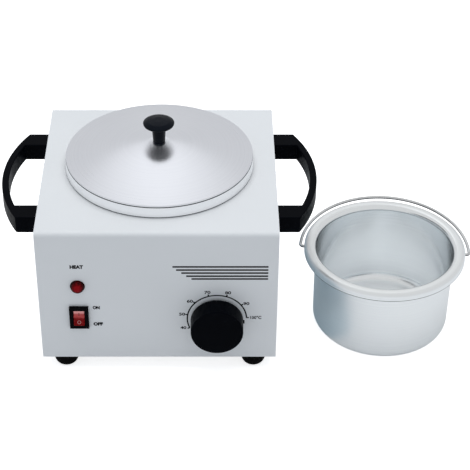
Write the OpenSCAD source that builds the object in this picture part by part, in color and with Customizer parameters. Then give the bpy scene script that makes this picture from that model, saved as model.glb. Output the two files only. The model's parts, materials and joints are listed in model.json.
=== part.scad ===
// Wax heater: a sheet metal housing with a heated well and a lid, and the bucket that goes in the well.
// Millimetres, +Z up, -Y is the front. The floor is Z = 0, and the origin is under the middle of the set.

/* [Housing] */
// Width of the housing, side to side
housing_w = 185; // [166:1:210]
// Depth of the housing, front to back
housing_d = 180; // [162:1:210]
// Height of the housing without its feet
housing_h = 121; // [109:1:145]
// Thickness of the housing's sheet
sheet_t = 1.2; // [0.8:0.1:1.6]
// Outside radius of the folds along the top
fold_r = 3.5; // [2.5:0.1:5]
// Width of the flanges turned in along the bottom
flange_w = 10; // [8:0.5:12]
// Gap between sheets at a seam
seam = 0.15; // [0.1:0.05:0.3]

/* [Feet] */
// Height of a foot
foot_h = 13; // [11:0.5:20]
// Radius of a foot at its top
foot_r = 10.3; // [8.5:0.1:12]
// Radius of the flat that a foot stands on
foot_tip_r = 6.2; // [5.2:0.1:7]
// Distance of a foot's centre from the housing's side
foot_side = 17.5; // [17:0.5:24]
// Distance of a foot's centre from the housing's front or back
foot_end = 12.5; // [12:0.5:20]

/* [Handles] */
// Length of a handle along the housing
handle_len = 120; // [100:1:140]
// Height of a handle's section
handle_h = 14.3; // [12:0.1:20]
// Depth of a handle's top below the top of the housing
handle_drop = 6.8; // [4:0.1:20]
// Distance of a handle's middle behind the middle of the housing
handle_back = 0.5; // [-6:0.5:6]
// Width of a handle's arms
handle_arm = 17.3; // [14:0.1:22]
// Reach of a handle's middle from the housing
handle_reach = 33; // [30:0.5:40]
// Reach of a handle's outer corners from the housing
handle_corner = 17; // [15:0.5:22]
// Thickness of a handle's bar
handle_bar = 5.6; // [4.5:0.1:8]

/* [Well] */
// Distance of the well's axis behind the middle of the housing
well_back = 4.9; // [3:0.1:8]
// Inner radius of the well
well_r = 57; // [56:0.1:58]
// Depth of the well below the top of its flange
well_depth = 68; // [67:0.5:72]
// Wall of the well
well_wall = 1.2; // [0.8:0.1:1.5]
// Thickness of the well's floor
well_floor = 2; // [1.5:0.1:3]
// Radius of the well's flange
well_flange_r = 71.5; // [70.8:0.1:72]
// Radius on which the flange's screws stand
well_screw_r = 67; // [66:0.1:67]

/* [Heater] */
// Thickness of the heater band
band_t = 2.5; // [2:0.1:3]
// Height of the heater band
band_h = 34; // [25:1:38]
// Thickness of the insulation
wool_t = 6; // [4:0.5:7]
// Distance of the heat shield's underside below the well
shield_drop = 17; // [14:0.5:18]
// Width of the heat shield's rim outside the insulation
shield_rim = 1; // [0.5:0.5:2]

/* [Controls] */
// Distance of the lamp's and the switch's centres from the housing's left side
controls_in = 30.8; // [28:0.1:40]
// Height of the lamp above the bottom of the housing
lamp_up = 71.3; // [60:0.1:90]
// Radius of the lamp's dome
lamp_r = 5.75; // [5.2:0.05:7]
// Height of the lamp's dome
lamp_dome = 5.5; // [3:0.1:5.7]
// Height of the switch above the bottom of the housing
switch_up = 41.4; // [32:0.1:44]
// Width of the switch's bezel
bezel_w = 15; // [14.6:0.1:17]
// Height of the switch's bezel
bezel_h = 21; // [20.6:0.1:23]
// Thickness of the switch's bezel
bezel_t = 2.5; // [2:0.1:3]
// Width of the rocker
rocker_w = 8.4; // [8:0.1:9.4]
// Radius of the rocker's ends about its pivot
rocker_r = 6.9; // [6.6:0.1:7.7]
// Depth of the rocker's pressed face behind the front of the bezel
rocker_sink = 0.6; // [0.4:0.1:1.2]
// Angle between the rocker's two positions
rocker_angle = 24; // [14:1:26]
// Distance of the dial's centre from the housing's right side
dial_in = 46.9; // [42:0.1:52]
// Height of the dial's centre above the bottom of the housing
dial_up = 39.2; // [34:0.1:50]
// Radius of the control knob
knob_r = 20.6; // [19:0.1:24]
// Length of the control knob
knob_len = 15.5; // [15:0.5:24]
// Gap between the control knob and the panel
knob_gap = 2.5; // [2:0.1:4]
// Radius of the thermostat's shaft
shaft_r = 3; // [2.5:0.1:3.5]

/* [Lid] */
// Radius of the lid at the bottom of its skirt
lid_r = 74.8; // [74:0.1:78]
// Height of the lid's skirt
skirt_h = 10.5; // [8:0.1:14]
// Rise of the lid's cone above its skirt
cone_h = 11.5; // [8:0.1:16]
// Thickness of the lid
lid_t = 1; // [0.8:0.1:1.4]
// Height of the lid's knob
lid_knob_h = 19.5; // [17:0.1:26]
// Radius of the cap of the lid's knob
cap_r = 12.5; // [10:0.1:15]
// Radius of the knob's stem where it stands on the lid
stem_r = 4.7; // [4.2:0.1:6]

/* [Bucket] */
// Gap between the housing's side and the bucket's rim
bucket_gap = 24; // [20:0.5:40]
// Distance of the bucket's axis behind the front of the housing
bucket_y = 65.6; // [50:0.1:90]
// Height of the bucket
bucket_h = 74.8; // [73:0.1:76]
// Outer radius of the bucket's body at its bottom
bucket_r = 55.1; // [54:0.1:55.6]
// Growth of the body's radius from its bottom to its rim
bucket_flare = 0.9; // [0:0.1:1.2]
// Wall of the bucket
bucket_wall = 1.2; // [0.8:0.1:1.5]
// Outer radius of the bucket's bottom corner
bucket_corner = 9; // [6:0.5:14]
// Outer radius of the bucket's rim
rim_r = 64.8; // [64:0.1:65]
// Height of the rim's turned-down edge
rim_h = 6.6; // [6.5:0.1:7.5]
// Radius of the bail's wire
wire_r = 1.25; // [1:0.05:1.4]
// Gap between the rim's edge and the bail
bail_gap = 1.9; // [1.2:0.05:2.4]
// Depth of the bail's pivots below the top of the rim
bail_drop = 5; // [4.7:0.1:5.1]
// Tilt of the bail above level where it lies back
bail_tilt = 4.5; // [2:0.5:10]
// Turn of the bucket about its own axis
bucket_turn = -5.2; // [-15:0.1:15]

/* [Cord entry] */
// Radius of the cord gland's bore
gland_bore = 3.6; // [3:0.1:4]
// Distance of the gland's centre from the housing's left side
gland_in = 42.5; // [36:0.5:60]
// Height of the gland's centre above the bottom of the housing
gland_up = 24; // [20:0.5:40]
// Length of the gland behind the housing
gland_out = 12; // [9:0.5:16]

/* [Hidden] */
$fn = 96;

through = 1;           // how far a cut runs past the face that it opens
running_gap = 0.05;    // radial gap of a part that turns in a hole
screw_gap = 0.15;      // radial gap of a screw in its hole
snug_gap = 0.2;        // gap round a piece that is pushed into its place
seat_gap = 0.3;        // gap under a loose piece that rests on another
root = 1;              // how far a part that is fixed to another runs into it
screw_past = 1;        // how far a screw's end stands out past its nut

base_z = foot_h;
floor_z = base_z + sheet_t;
top_z = base_z + housing_h;
side_x = housing_w/2;
wall_x = side_x - sheet_t;
back_y = housing_d;
wall_y = back_y - sheet_t;
mid_y = housing_d/2;

bail_r = rim_r + bail_gap + wire_r;
bucket_x = side_x + bucket_gap + rim_r;

housing_x = (side_x + handle_reach - bucket_x - bail_r - wire_r)/2;
front_y = (knob_gap + knob_len - back_y - gland_out)/2;

// Screws
small_shank_r = 1.5;
small_head_r = 2.9;
small_head_h = 1.8;
large_shank_r = 2;
large_head_r = 3.6;
large_head_h = 2.2;
nut_h = 3;
slot_w = 0.7;
slot_depth = 0.9;
slot_share = 0.6;

// Base
wrap_flange_end = 32;
wrap_flange_x = side_x - wrap_flange_end;
wrap_screw_end = 20;
wrap_screw_x = [-1, 0, 1]*(wrap_flange_x - wrap_screw_end);
side_screw_ends = 42;
side_screw_y = [side_screw_ends, back_y - side_screw_ends];
flange_mid = flange_w/2;
vent_len = 30;
vent_w = 4;
vent_pitch = 10;
vent_rows = 6;
vent_x = 24;

// Feet
foot_x = side_x - foot_side;
foot_recess = 4;
foot_recess_gap = 0.3;
foot_straight = 3;

// Handles
handle_y = mid_y + handle_back;
bow_rise = handle_reach - handle_corner;
bow_r = (pow(handle_len/2, 2) + pow(bow_rise, 2))/(2*bow_rise);
handle_z = top_z - handle_drop - handle_h/2;
handle_screw_y = handle_len/2 - handle_arm/2;
handle_screw_len = 13;

// Well
well_y = mid_y + well_back;
well_out = well_r + well_wall;
well_flange_t = 1.2;
flange_top = top_z + well_flange_t;
well_corner = 8;
well_in_z = flange_top - well_depth;
well_base = well_in_z - well_floor;
well_hole_gap = 1;
well_hole_r = well_out + well_hole_gap;
well_screw_turn = 45;

// Heater
band_r = well_out + snug_gap + band_t;
band_up = 2;
band_z = well_in_z + well_corner + band_up;
band_split = 8;
ear_t = 1.5;
ear_len = 11;
ear_h = 14;
ear_x = band_split/2;
ear_z = band_z + band_h - ear_h;
ear_hole_in = 4;
ear_hole_y = well_y + band_r + ear_len - ear_hole_in;
post_r = 1.6;
post_len = 8;
post_x = 14;
post_up = 5;
post_z = band_z + post_up;
shield_t = 1;
shield_z = well_base - shield_drop;
shield_top = shield_z + shield_t;
wool_r = band_r + seat_gap;
wool_h = band_z + band_h - shield_top;
wool_notch = 36;
shield_r = wool_r + wool_t + shield_rim;
shield_screw_len = 8;
standoff_r = 4;
standoff_at = 58;
standoff_turns = [90, 210, 330];
cutout_r = 8;
cutout_h = 6;
cutout_back = 18;
cutout_y = well_y + cutout_back;
cutout_tab_w = 24;
cutout_tab_h = 6;
cutout_tab_t = 1;

// Thermostat
dial_x = side_x - dial_in;
dial_z = base_z + dial_up;
stat_w = 34;
stat_d = 22;
stat_face = sheet_t;
bush_r = 5;
bush_out = 1.5;
shaft_depth = 12;
knob_bore_depth = 12;
shaft_end_gap = 1;
stat_screw_x = 12.5;
stat_screw_in = 7;
stat_blade_y = stat_face + stat_d;
stat_blade_x = 8;
stat_blade_drop = 8;
stat_blade_z = dial_z - stat_blade_drop;
knob_wall = 2.5;
knob_edge = 1.2;
knob_hollow = 9;
hub_r = 6;
nub_w = 2;
nub_out = 0.9;
nub_len = 2.5;

// Capillary and its bulb
bulb_r = 3;
bulb_len = 60;
bulb_front = 14;
bulb_y = well_y - bulb_front;
bulb_z = well_base - bulb_r - seat_gap;
clip_x = 20;
clip_w = 8;
clip_t = 1.2;
cap_tube_r = 1;
cap_x = dial_x;
cap_rise = 8;
cap_z = dial_z + cap_rise;
cap_notch = 14;
cap_straight = 5;
cap_dip = 1;
cap_over = 5;
cap_mid_y = (bulb_y + stat_blade_y)/2;
cap_mid_z = max(cap_z, shield_top + cap_over);

// Switch
controls_x = -side_x + controls_in;
switch_z = base_z + switch_up;
pivot_in = 1.3;
ridge_y = rocker_sink - bezel_t;
pivot_y = ridge_y + pivot_in;
switch_body_w = 12.6;
switch_body_h = 18.6;
switch_body_d = 19;
switch_root = 0.5;
rocker_gap = 0.3;
rocker_tip_gap = 0.15;
rocker_back = 4.5;
well_depth_y = 8;
axle_r = 1;
axle_len = 1;
blade_w = 5;
blade_t = 0.8;
blade_len = 8;
blade_pitch = 6;
switch_blade_y = switch_body_d;

// Lamp
lamp_z = base_z + lamp_up;
lamp_sphere_r = (lamp_r*lamp_r + lamp_dome*lamp_dome)/(2*lamp_dome);
lamp_shank_r = 4.3;
lamp_shank_len = 18;
lamp_bore_r = 3.4;
lamp_nut_r = 7;
lamp_nut_t = 2;
neon_r = 2.4;
neon_len = 9;
plug_len = 6;

// Lid
lid_z = top_z + seat_gap;
lid_edge_r = 1.2;
lid_lean = 0.5;
lid_flat_r = 8;
lid_apex = lid_z + skirt_h + cone_h;
washer_r = 6;
washer_t = 1;
stem_flare = 0.7;
crown_h = 3;
cap_edge_r = 1.5;
crown_share = 0.96;
cap_drop = 6.5;
lid_screw_len = 10;
lid_screw_gap = 1;

// Bucket
rim_top_r = 3.2;
lip_r = 4.5;
bail_hole_r = wire_r + 0.08;
bail_in = 3;
bail_z = bucket_h - bail_drop;

// Cord entry
gland_x = -side_x + gland_in;
gland_z = base_z + gland_up;
gland_hex_r = 10;
gland_hex_t = 4;
gland_nose_r = 7.5;
gland_thread_r = 6.5;
gland_in_len = 9;
gland_nut_t = 4;

// Terminal block and earth stud
block_w = 34;
block_d = 15;
block_h = 14;
block_x = gland_x;
block_in = 33;
block_y = back_y - block_in;
block_hole_depth = 7;
block_screw_in = 5;
pole_pitch = 11;
pole_r = 2;
pole_wall = 1;
pole_screw_y = block_y + 4;
pole_screw_drop = 1.5;
earth_side = 26;
earth_x = gland_x + earth_side;
earth_y = block_y;
earth_len = 9;
eyelet_r = 4.2;
eyelet_t = 0.8;
barrel_r = 1.5;
barrel_len = 6;
barrel_end = 12;

// Where the wires end, on the faces of what they join
lead_r = 1.1;
lead_sides = 8;
lead_out = 5;
lead_steps = 3;
pair_x = 2.2;
pole_y = block_y - block_d/2;
pole_z = floor_z + block_h/2;
switch_end = switch_blade_y + blade_len;
stat_end = stat_blade_y + blade_len;
plug_end = lamp_shank_len + plug_len/2;
post_y = well_y + sqrt(pow(band_r, 2) - pow(post_x, 2)) + post_len;
cutout_end = cutout_r + blade_len;
cutout_z = well_base - cutout_h/2;
over_block = 0.45;
over_block_z = floor_z + block_h + over_block*(shield_z - floor_z - block_h);
barrel_z = floor_z + barrel_r;
barrel_y = earth_y - barrel_end;

function arc(cx, cy, r, from, to, steps = 8) =
    [for (i = [0 : steps]) let (a = from + (to - from)*i/steps) [cx + r*cos(a), cy + r*sin(a)]];

// Places and directions

module at_housing() {
    translate([housing_x, front_y, 0]) children();
}

module at_bucket() {
    translate([housing_x + bucket_x, front_y + bucket_y, 0]) rotate(bucket_turn) children();
}

module along_x(len) {
    rotate([90, 0, 90]) linear_extrude(len, center = true) children();
}

module rod_x(r, len) {
    rotate([0, 90, 0]) cylinder(r = r, h = len);
}

module rod_y(r, len) {
    rotate([-90, 0, 0]) cylinder(r = r, h = len);
}

module ring(outer, inner, h) {
    difference() {
        cylinder(r = outer, h = h);
        translate([0, 0, -through]) cylinder(r = inner, h = h + 2*through);
    }
}

// A pan head screw with a cross slot, its head below the origin and its shank upward
module screw(head_r, head_h, shank_r, len) {
    difference() {
        translate([0, 0, -head_h]) cylinder(r = head_r, h = head_h);
        for (a = [0, 90])
            rotate(a)
                translate([-slot_share*head_r, -slot_w/2, -head_h - through])
                    cube([2*slot_share*head_r, slot_w, slot_depth + through]);
    }
    cylinder(r = shank_r, h = len);
}

module small_screw(len) {
    screw(small_head_r, small_head_h, small_shank_r, len);
}

module large_screw(len) {
    screw(large_head_r, large_head_h, large_shank_r, len);
}

module hex_nut(across_r, bore_r, h) {
    difference() {
        cylinder(r = across_r, h = h, $fn = 6);
        translate([0, 0, -through]) cylinder(r = bore_r, h = h + 2*through);
    }
}

// Housing

module fold_outline(inset) {
    depth = housing_d - 2*inset;
    height = housing_h - inset;
    r = fold_r - inset;
    translate([inset, 0]) {
        square([depth, height - r]);
        translate([r, 0]) square([depth - 2*r, height]);
        for (y = [r, depth - r])
            translate([y, height - r]) circle(r);
    }
}

module fold_section() {
    difference() {
        fold_outline(0);
        fold_outline(sheet_t);
        translate([sheet_t, -through]) square([housing_d - 2*sheet_t, 2*through]);
    }
}

module wrap_flanges() {
    for (y = [sheet_t, wall_y - flange_w])
        translate([-wrap_flange_x, y, floor_z]) cube([2*wrap_flange_x, flange_w, sheet_t]);
}

module wrap_screw_places() {
    for (x = wrap_screw_x, y = [sheet_t + flange_mid, wall_y - flange_mid])
        translate([x, y, 0]) children();
}

module side_screw_places(side) {
    for (y = side_screw_y)
        translate([side*(wall_x - flange_mid), y, 0]) children();
}

module well_screw_places() {
    for (a = [0 : 90 : 270])
        translate([0, well_y, 0]) rotate(a + well_screw_turn) translate([well_screw_r, 0, 0]) children();
}

module stat_screw_places() {
    for (s = [-1, 1])
        translate([dial_x + s*stat_screw_x, 0, dial_z]) children();
}

module panel_cuts() {
    cut = sheet_t + 2*through;
    translate([controls_x, -through, lamp_z]) rod_y(lamp_shank_r + snug_gap, cut);
    translate([controls_x - switch_body_w/2 - snug_gap, -through, switch_z - switch_body_h/2 - snug_gap])
        cube([switch_body_w + 2*snug_gap, cut, switch_body_h + 2*snug_gap]);
    translate([dial_x, -through, dial_z]) rod_y(bush_r + snug_gap, cut);
    stat_screw_places()
        translate([0, -through, 0]) rod_y(small_shank_r + screw_gap, cut);
    translate([gland_x, wall_y - through, gland_z]) rod_y(gland_thread_r + snug_gap, cut);
}

module housing_wrap() {
    color("white") at_housing() difference() {
        union() {
            translate([0, 0, base_z]) along_x(housing_w) fold_section();
            wrap_flanges();
        }
        panel_cuts();
        translate([0, well_y, top_z - sheet_t - through]) cylinder(r = well_hole_r, h = sheet_t + 2*through);
        well_screw_places()
            translate([0, 0, top_z - sheet_t - through])
                cylinder(r = small_shank_r + screw_gap, h = sheet_t + 2*through);
        wrap_screw_places()
            translate([0, 0, floor_z - through])
                cylinder(r = small_shank_r + screw_gap, h = sheet_t + 2*through);
    }
}

module handle_screw_places(side) {
    for (s = [-1, 1])
        translate([side*wall_x, handle_y + s*handle_screw_y, handle_z]) rotate([0, side*90, 0]) children();
}

module side_panel(side) {
    inset = sheet_t + seam;
    lip_y = inset + fold_r;
    color("white") at_housing() difference() {
        union() {
            translate([side*(side_x - sheet_t/2), 0, base_z]) along_x(sheet_t) fold_outline(inset);
            for (z = [floor_z, top_z - 2*sheet_t])
                translate([side*(wall_x - flange_mid) - flange_mid, lip_y, z])
                    cube([flange_w, housing_d - 2*lip_y, sheet_t]);
        }
        side_screw_places(side)
            translate([0, 0, floor_z - through])
                cylinder(r = small_shank_r + screw_gap, h = sheet_t + 2*through);
        handle_screw_places(side)
            translate([0, 0, -through]) cylinder(r = large_shank_r + screw_gap, h = sheet_t + 2*through);
    }
}

module side_panel_left() {
    side_panel(-1);
}

module side_panel_right() {
    side_panel(1);
}

module vent_slots() {
    for (s = [-1, 1], i = [0 : vent_rows - 1])
        translate([s*vent_x, well_y + (i - (vent_rows - 1)/2)*vent_pitch, base_z - through]) {
            translate([-vent_len/2, -vent_w/2, 0]) cube([vent_len, vent_w, sheet_t + 2*through]);
            for (e = [-1, 1])
                translate([e*vent_len/2, 0, 0]) cylinder(r = vent_w/2, h = sheet_t + 2*through);
        }
}

module foot_places() {
    for (sx = [-1, 1], y = [foot_end, back_y - foot_end])
        translate([sx*foot_x, y, 0]) children();
}

module standoff_places() {
    for (a = standoff_turns)
        translate([0, well_y, 0]) rotate(a) translate([standoff_at, 0, 0]) children();
}

module block_screw_places() {
    for (s = [-1, 1])
        translate([block_x + s*pole_pitch/2, block_y, 0]) children();
}

module base_plate() {
    gap = sheet_t + seam;
    color("gainsboro") at_housing() difference() {
        translate([-side_x + gap, gap, base_z]) cube([housing_w - 2*gap, housing_d - 2*gap, sheet_t]);
        vent_slots();
        translate([0, 0, base_z - through]) {
            wrap_screw_places() cylinder(r = small_shank_r + screw_gap, h = sheet_t + 2*through);
            for (s = [-1, 1])
                side_screw_places(s) cylinder(r = small_shank_r + screw_gap, h = sheet_t + 2*through);
            foot_places() cylinder(r = large_shank_r + screw_gap, h = sheet_t + 2*through);
            standoff_places() cylinder(r = small_shank_r + screw_gap, h = sheet_t + 2*through);
            block_screw_places() cylinder(r = small_shank_r + screw_gap, h = sheet_t + 2*through);
            translate([earth_x, earth_y, 0]) cylinder(r = large_shank_r + screw_gap, h = sheet_t + 2*through);
        }
    }
}

module base_screws() {
    color("silver") at_housing() translate([0, 0, base_z]) {
        wrap_screw_places() small_screw(3*sheet_t);
        for (s = [-1, 1])
            side_screw_places(s) small_screw(3*sheet_t);
    }
}

// Feet

module foot(sx, y) {
    dome_h = foot_h - foot_straight;
    dome_r = foot_r - foot_tip_r;
    color("black") at_housing() translate([sx*foot_x, y, 0]) difference() {
        rotate_extrude() polygon(concat(
            [[0, 0]],
            [for (a = [0 : 10 : 90]) [foot_tip_r + dome_r*sin(a), dome_h*(1 - cos(a))]],
            [[foot_r, foot_h], [0, foot_h]]
        ));
        translate([0, 0, -through]) cylinder(r = large_head_r + foot_recess_gap, h = foot_recess + through);
        cylinder(r = large_shank_r + screw_gap, h = foot_h + through);
    }
}

module foot_front_left() {
    foot(-1, foot_end);
}

module foot_front_right() {
    foot(1, foot_end);
}

module foot_rear_left() {
    foot(-1, back_y - foot_end);
}

module foot_rear_right() {
    foot(1, back_y - foot_end);
}

module foot_screws() {
    len = floor_z + nut_h + screw_past - foot_recess;
    color("silver") at_housing() foot_places() translate([0, 0, foot_recess]) large_screw(len);
}

module foot_nuts() {
    color("silver") at_housing() foot_places()
        translate([0, 0, floor_z]) hex_nut(large_head_r, large_shank_r + running_gap, nut_h);
}

// Handles

module handle_outline() {
    gap_len = handle_len - 2*handle_arm;
    difference() {
        intersection() {
            translate([0, -handle_len/2]) square([handle_reach, handle_len]);
            translate([handle_reach - bow_r, 0]) circle(bow_r);
        }
        intersection() {
            translate([-through, -gap_len/2]) square([handle_reach, gap_len]);
            translate([handle_reach - bow_r, 0]) circle(bow_r - handle_bar);
        }
    }
}

module handle(side) {
    color("black") at_housing() difference() {
        translate([side*side_x, handle_y, handle_z - handle_h/2])
            rotate(side > 0 ? 0 : 180) linear_extrude(handle_h) handle_outline();
        handle_screw_places(side)
            cylinder(r = large_shank_r + running_gap, h = handle_screw_len + sheet_t);
    }
}

module handle_left() {
    handle(-1);
}

module handle_right() {
    handle(1);
}

module handle_screws() {
    color("silver") at_housing()
        for (s = [-1, 1])
            handle_screw_places(s) large_screw(handle_screw_len);
}

// Well and heater

module heater_well() {
    corner_out = well_corner + well_wall;
    color("silver") at_housing() difference() {
        translate([0, well_y, 0]) rotate_extrude() polygon(concat(
            [[0, well_in_z]],
            arc(well_r - well_corner, well_in_z + well_corner, well_corner, -90, 0),
            [[well_r, flange_top], [well_flange_r, flange_top], [well_flange_r, top_z], [well_out, top_z]],
            arc(well_out - corner_out, well_base + corner_out, corner_out, 0, -90),
            [[0, well_base]]
        ));
        well_screw_places()
            translate([0, 0, top_z - through])
                cylinder(r = small_shank_r + screw_gap, h = well_flange_t + 2*through);
    }
}

module well_screws() {
    len = well_flange_t + sheet_t + nut_h + screw_past;
    color("silver") at_housing() well_screw_places()
        translate([0, 0, flange_top]) mirror([0, 0, 1]) small_screw(len);
}

module well_nuts() {
    color("silver") at_housing() well_screw_places()
        translate([0, 0, top_z - sheet_t - nut_h]) hex_nut(small_head_r, small_shank_r + running_gap, nut_h);
}

module band_heater() {
    ear_y = well_y + band_r - root;
    color("darkgoldenrod") at_housing() difference() {
        union() {
            translate([0, well_y, band_z]) ring(band_r, band_r - band_t, band_h);
            for (s = [-1, 1])
                translate([s*(ear_x + ear_t/2) - ear_t/2, ear_y, ear_z]) cube([ear_t, ear_len, ear_h]);
            for (s = [-1, 1])
                translate([s*post_x, post_y - post_len - root, post_z]) rod_y(post_r, post_len + root);
        }
        translate([-ear_x, well_y, band_z - through])
            cube([band_split, band_r + ear_len, band_h + 2*through]);
        translate([-ear_x - ear_t - through, ear_hole_y, ear_z + ear_h/2])
            rod_x(small_shank_r + screw_gap, band_split + 2*ear_t + 2*through);
    }
}

module band_clamp_screw() {
    color("silver") at_housing() translate([0, ear_hole_y, ear_z + ear_h/2]) {
        translate([-ear_x - ear_t, 0, 0]) rotate([0, 90, 0])
            small_screw(band_split + 2*ear_t + nut_h);
        translate([ear_x + ear_t, 0, 0]) rotate([0, 90, 0])
            cylinder(r = small_head_r, h = nut_h, $fn = 6);
    }
}

module insulation_sleeve() {
    notch_h = 14;
    color("khaki") at_housing() difference() {
        translate([0, well_y, shield_top]) ring(wool_r + wool_t, wool_r, wool_h);
        translate([-wool_notch/2, well_y, shield_top - through])
            cube([wool_notch, wool_r + wool_t + through, wool_h + 2*through]);
        translate([cap_x - cap_notch/2, stat_blade_y, shield_top - through])
            cube([cap_notch, well_y - stat_blade_y, cap_z - shield_top + notch_h/2 + through]);
    }
}

module heat_shield() {
    color("lightgray") at_housing() difference() {
        translate([0, well_y, shield_z]) cylinder(r = shield_r, h = shield_t);
        standoff_places()
            translate([0, 0, shield_z - through])
                cylinder(r = small_shank_r + screw_gap, h = shield_t + 2*through);
    }
}

module shield_standoffs() {
    color("silver") at_housing() standoff_places()
        translate([0, 0, floor_z]) hex_nut(standoff_r, small_shank_r + running_gap, shield_z - floor_z);
}

module shield_screws() {
    color("silver") at_housing() standoff_places() {
        translate([0, 0, base_z]) small_screw(shield_screw_len);
        translate([0, 0, shield_top]) mirror([0, 0, 1]) small_screw(shield_screw_len);
    }
}

module thermal_cutout() {
    color("dimgray") at_housing() translate([0, cutout_y, well_base - cutout_h]) {
        cylinder(r = cutout_r, h = cutout_h);
        translate([-cutout_tab_w/2, -cutout_tab_h/2, cutout_h - cutout_tab_t])
            cube([cutout_tab_w, cutout_tab_h, cutout_tab_t]);
        translate([-cutout_end, -blade_w/2, (cutout_h - blade_t)/2]) cube([2*cutout_end, blade_w, blade_t]);
    }
}

// Thermostat

module blade(x, y, z) {
    translate([x - blade_w/2, y, z - blade_t/2]) cube([blade_w, blade_len, blade_t]);
}

module thermostat_body() {
    color("dimgray") at_housing() difference() {
        union() {
            translate([dial_x - stat_w/2, stat_face, dial_z - stat_w/2]) cube([stat_w, stat_d, stat_w]);
            translate([dial_x, -bush_out, dial_z]) rod_y(bush_r, stat_face + bush_out + root);
            for (s = [-1, 1])
                blade(dial_x + s*stat_blade_x, stat_blade_y, stat_blade_z);
        }
        translate([dial_x, -bush_out - through, dial_z])
            rod_y(shaft_r + running_gap, bush_out + stat_face + shaft_depth + through);
        stat_screw_places() rod_y(small_shank_r + running_gap, stat_face + stat_screw_in + screw_past);
    }
}

module thermostat_shaft() {
    color("silver") at_housing()
        translate([dial_x, -knob_gap - knob_bore_depth, dial_z])
            rod_y(shaft_r, knob_bore_depth + knob_gap + stat_face + shaft_depth - shaft_end_gap);
}

module thermostat_screws() {
    color("silver") at_housing() stat_screw_places()
        rotate([-90, 0, 0]) small_screw(stat_face + stat_screw_in);
}

module control_knob() {
    back = knob_gap;
    front = knob_gap + knob_len;
    color("black") at_housing() translate([dial_x, 0, dial_z]) difference() {
        union() {
            rotate([90, 0, 0]) rotate_extrude() polygon(concat(
                [[0, front - knob_wall], [0, front]],
                arc(knob_r - knob_edge, front - knob_edge, knob_edge, 90, 0),
                [[knob_r, back], [knob_r - knob_wall, back], [knob_r - knob_wall, back + knob_hollow],
                 [hub_r, back + knob_hollow], [hub_r, back], [0, back]]
            ));
            translate([knob_r - root, -back - nub_len, -nub_w/2]) cube([nub_out + root, nub_len, nub_w]);
        }
        translate([0, -back - knob_bore_depth, 0]) rod_y(shaft_r + running_gap, knob_bore_depth + through);
    }
}

module sensor_bulb() {
    color("orange") at_housing() translate([-bulb_len/2, bulb_y, bulb_z]) rod_x(bulb_r, bulb_len);
}

module bulb_clips() {
    clip_r = bulb_r + running_gap;
    color("silver") at_housing() for (s = [-1, 1])
        translate([s*clip_x - clip_w/2, bulb_y, bulb_z]) difference() {
            translate([0, -clip_r - clip_t, -clip_r - clip_t])
                cube([clip_w, 2*(clip_r + clip_t), well_base - bulb_z + clip_r + clip_t]);
            translate([-through, 0, 0]) rod_x(clip_r, clip_w + 2*through);
        }
}

// A smooth tube of flat-sided rings along a route

function unit(v) = v/norm(v);
function route_point(p, i, t) =
    let (n = len(p) - 1, a = p[max(i - 1, 0)], b = p[i], c = p[i + 1], d = p[min(i + 2, n)])
    0.5*(2*b + (c - a)*t + (2*a - 5*b + 4*c - d)*t*t + (3*b - a - 3*c + d)*t*t*t);
function route_line(p, steps) =
    concat([for (i = [0 : len(p) - 2], k = [0 : steps - 1]) route_point(p, i, k/steps)], [p[len(p) - 1]]);
function across(dir, side) = unit(side - dir*(side*dir));
function next_side(dirs, side, i) =
    i == len(dirs) ? [] : let (s = across(dirs[i], side)) concat([s], next_side(dirs, s, i + 1));

module tube(route, r, sides, steps) {
    line = route_line(route, steps);
    n = len(line);
    last_point = len(route) - 1;
    mid_dirs = [for (i = [1 : n - 2]) unit(line[i + 1] - line[i - 1])];
    dirs = concat([unit(route[1] - route[0])], mid_dirs, [unit(route[last_point] - route[last_point - 1])]);
    start = abs(dirs[0].z) < 0.9 ? [0, 0, 1] : [1, 0, 0];
    frames = next_side(dirs, start, 0);
    points = [for (i = [0 : n - 1], k = [0 : sides - 1])
        let (a = 360*k/sides) line[i] + r*(cos(a)*frames[i] + sin(a)*cross(dirs[i], frames[i]))];
    last = (n - 1)*sides;
    walls = [for (i = [0 : n - 2], k = [0 : sides - 1], h = [0, 1])
        let (a = i*sides + k, b = i*sides + (k + 1) % sides)
        h == 0 ? [a, a + sides, b] : [b, a + sides, b + sides]];
    ends = [for (k = [1 : sides - 2], h = [0, 1])
        h == 0 ? [0, k, k + 1] : [last, last + k + 1, last + k]];
    polyhedron(points, concat(walls, ends));
}

capillary_route = [
    [bulb_len/2, bulb_y, bulb_z], [bulb_len/2 + cap_straight, bulb_y, bulb_z],
    [cap_x - cap_straight, (bulb_y + cap_mid_y)/2, bulb_z - cap_dip], [cap_x - cap_dip, cap_mid_y, cap_mid_z],
    [cap_x, stat_blade_y + cap_straight, cap_z], [cap_x, stat_blade_y, cap_z]
];

module capillary() {
    color("peru") at_housing() tube(capillary_route, cap_tube_r, lead_sides, lead_steps);
}

// Switch

module rocker_side() {
    lean = rocker_angle;
    reach = 2*rocker_r;
    intersection() {
        circle(rocker_r);
        polygon([
            [rocker_back, -reach], [rocker_back, reach], [-pivot_in, reach], [-pivot_in, 0],
            [-pivot_in - reach*tan(lean), -reach]
        ]);
    }
}

module rocker() {
    color("red") at_housing() translate([controls_x, pivot_y, switch_z]) {
        along_x(rocker_w) rocker_side();
        translate([-rocker_w/2 - axle_len, 0, 0]) rod_x(axle_r, rocker_w + 2*axle_len);
    }
}

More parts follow.
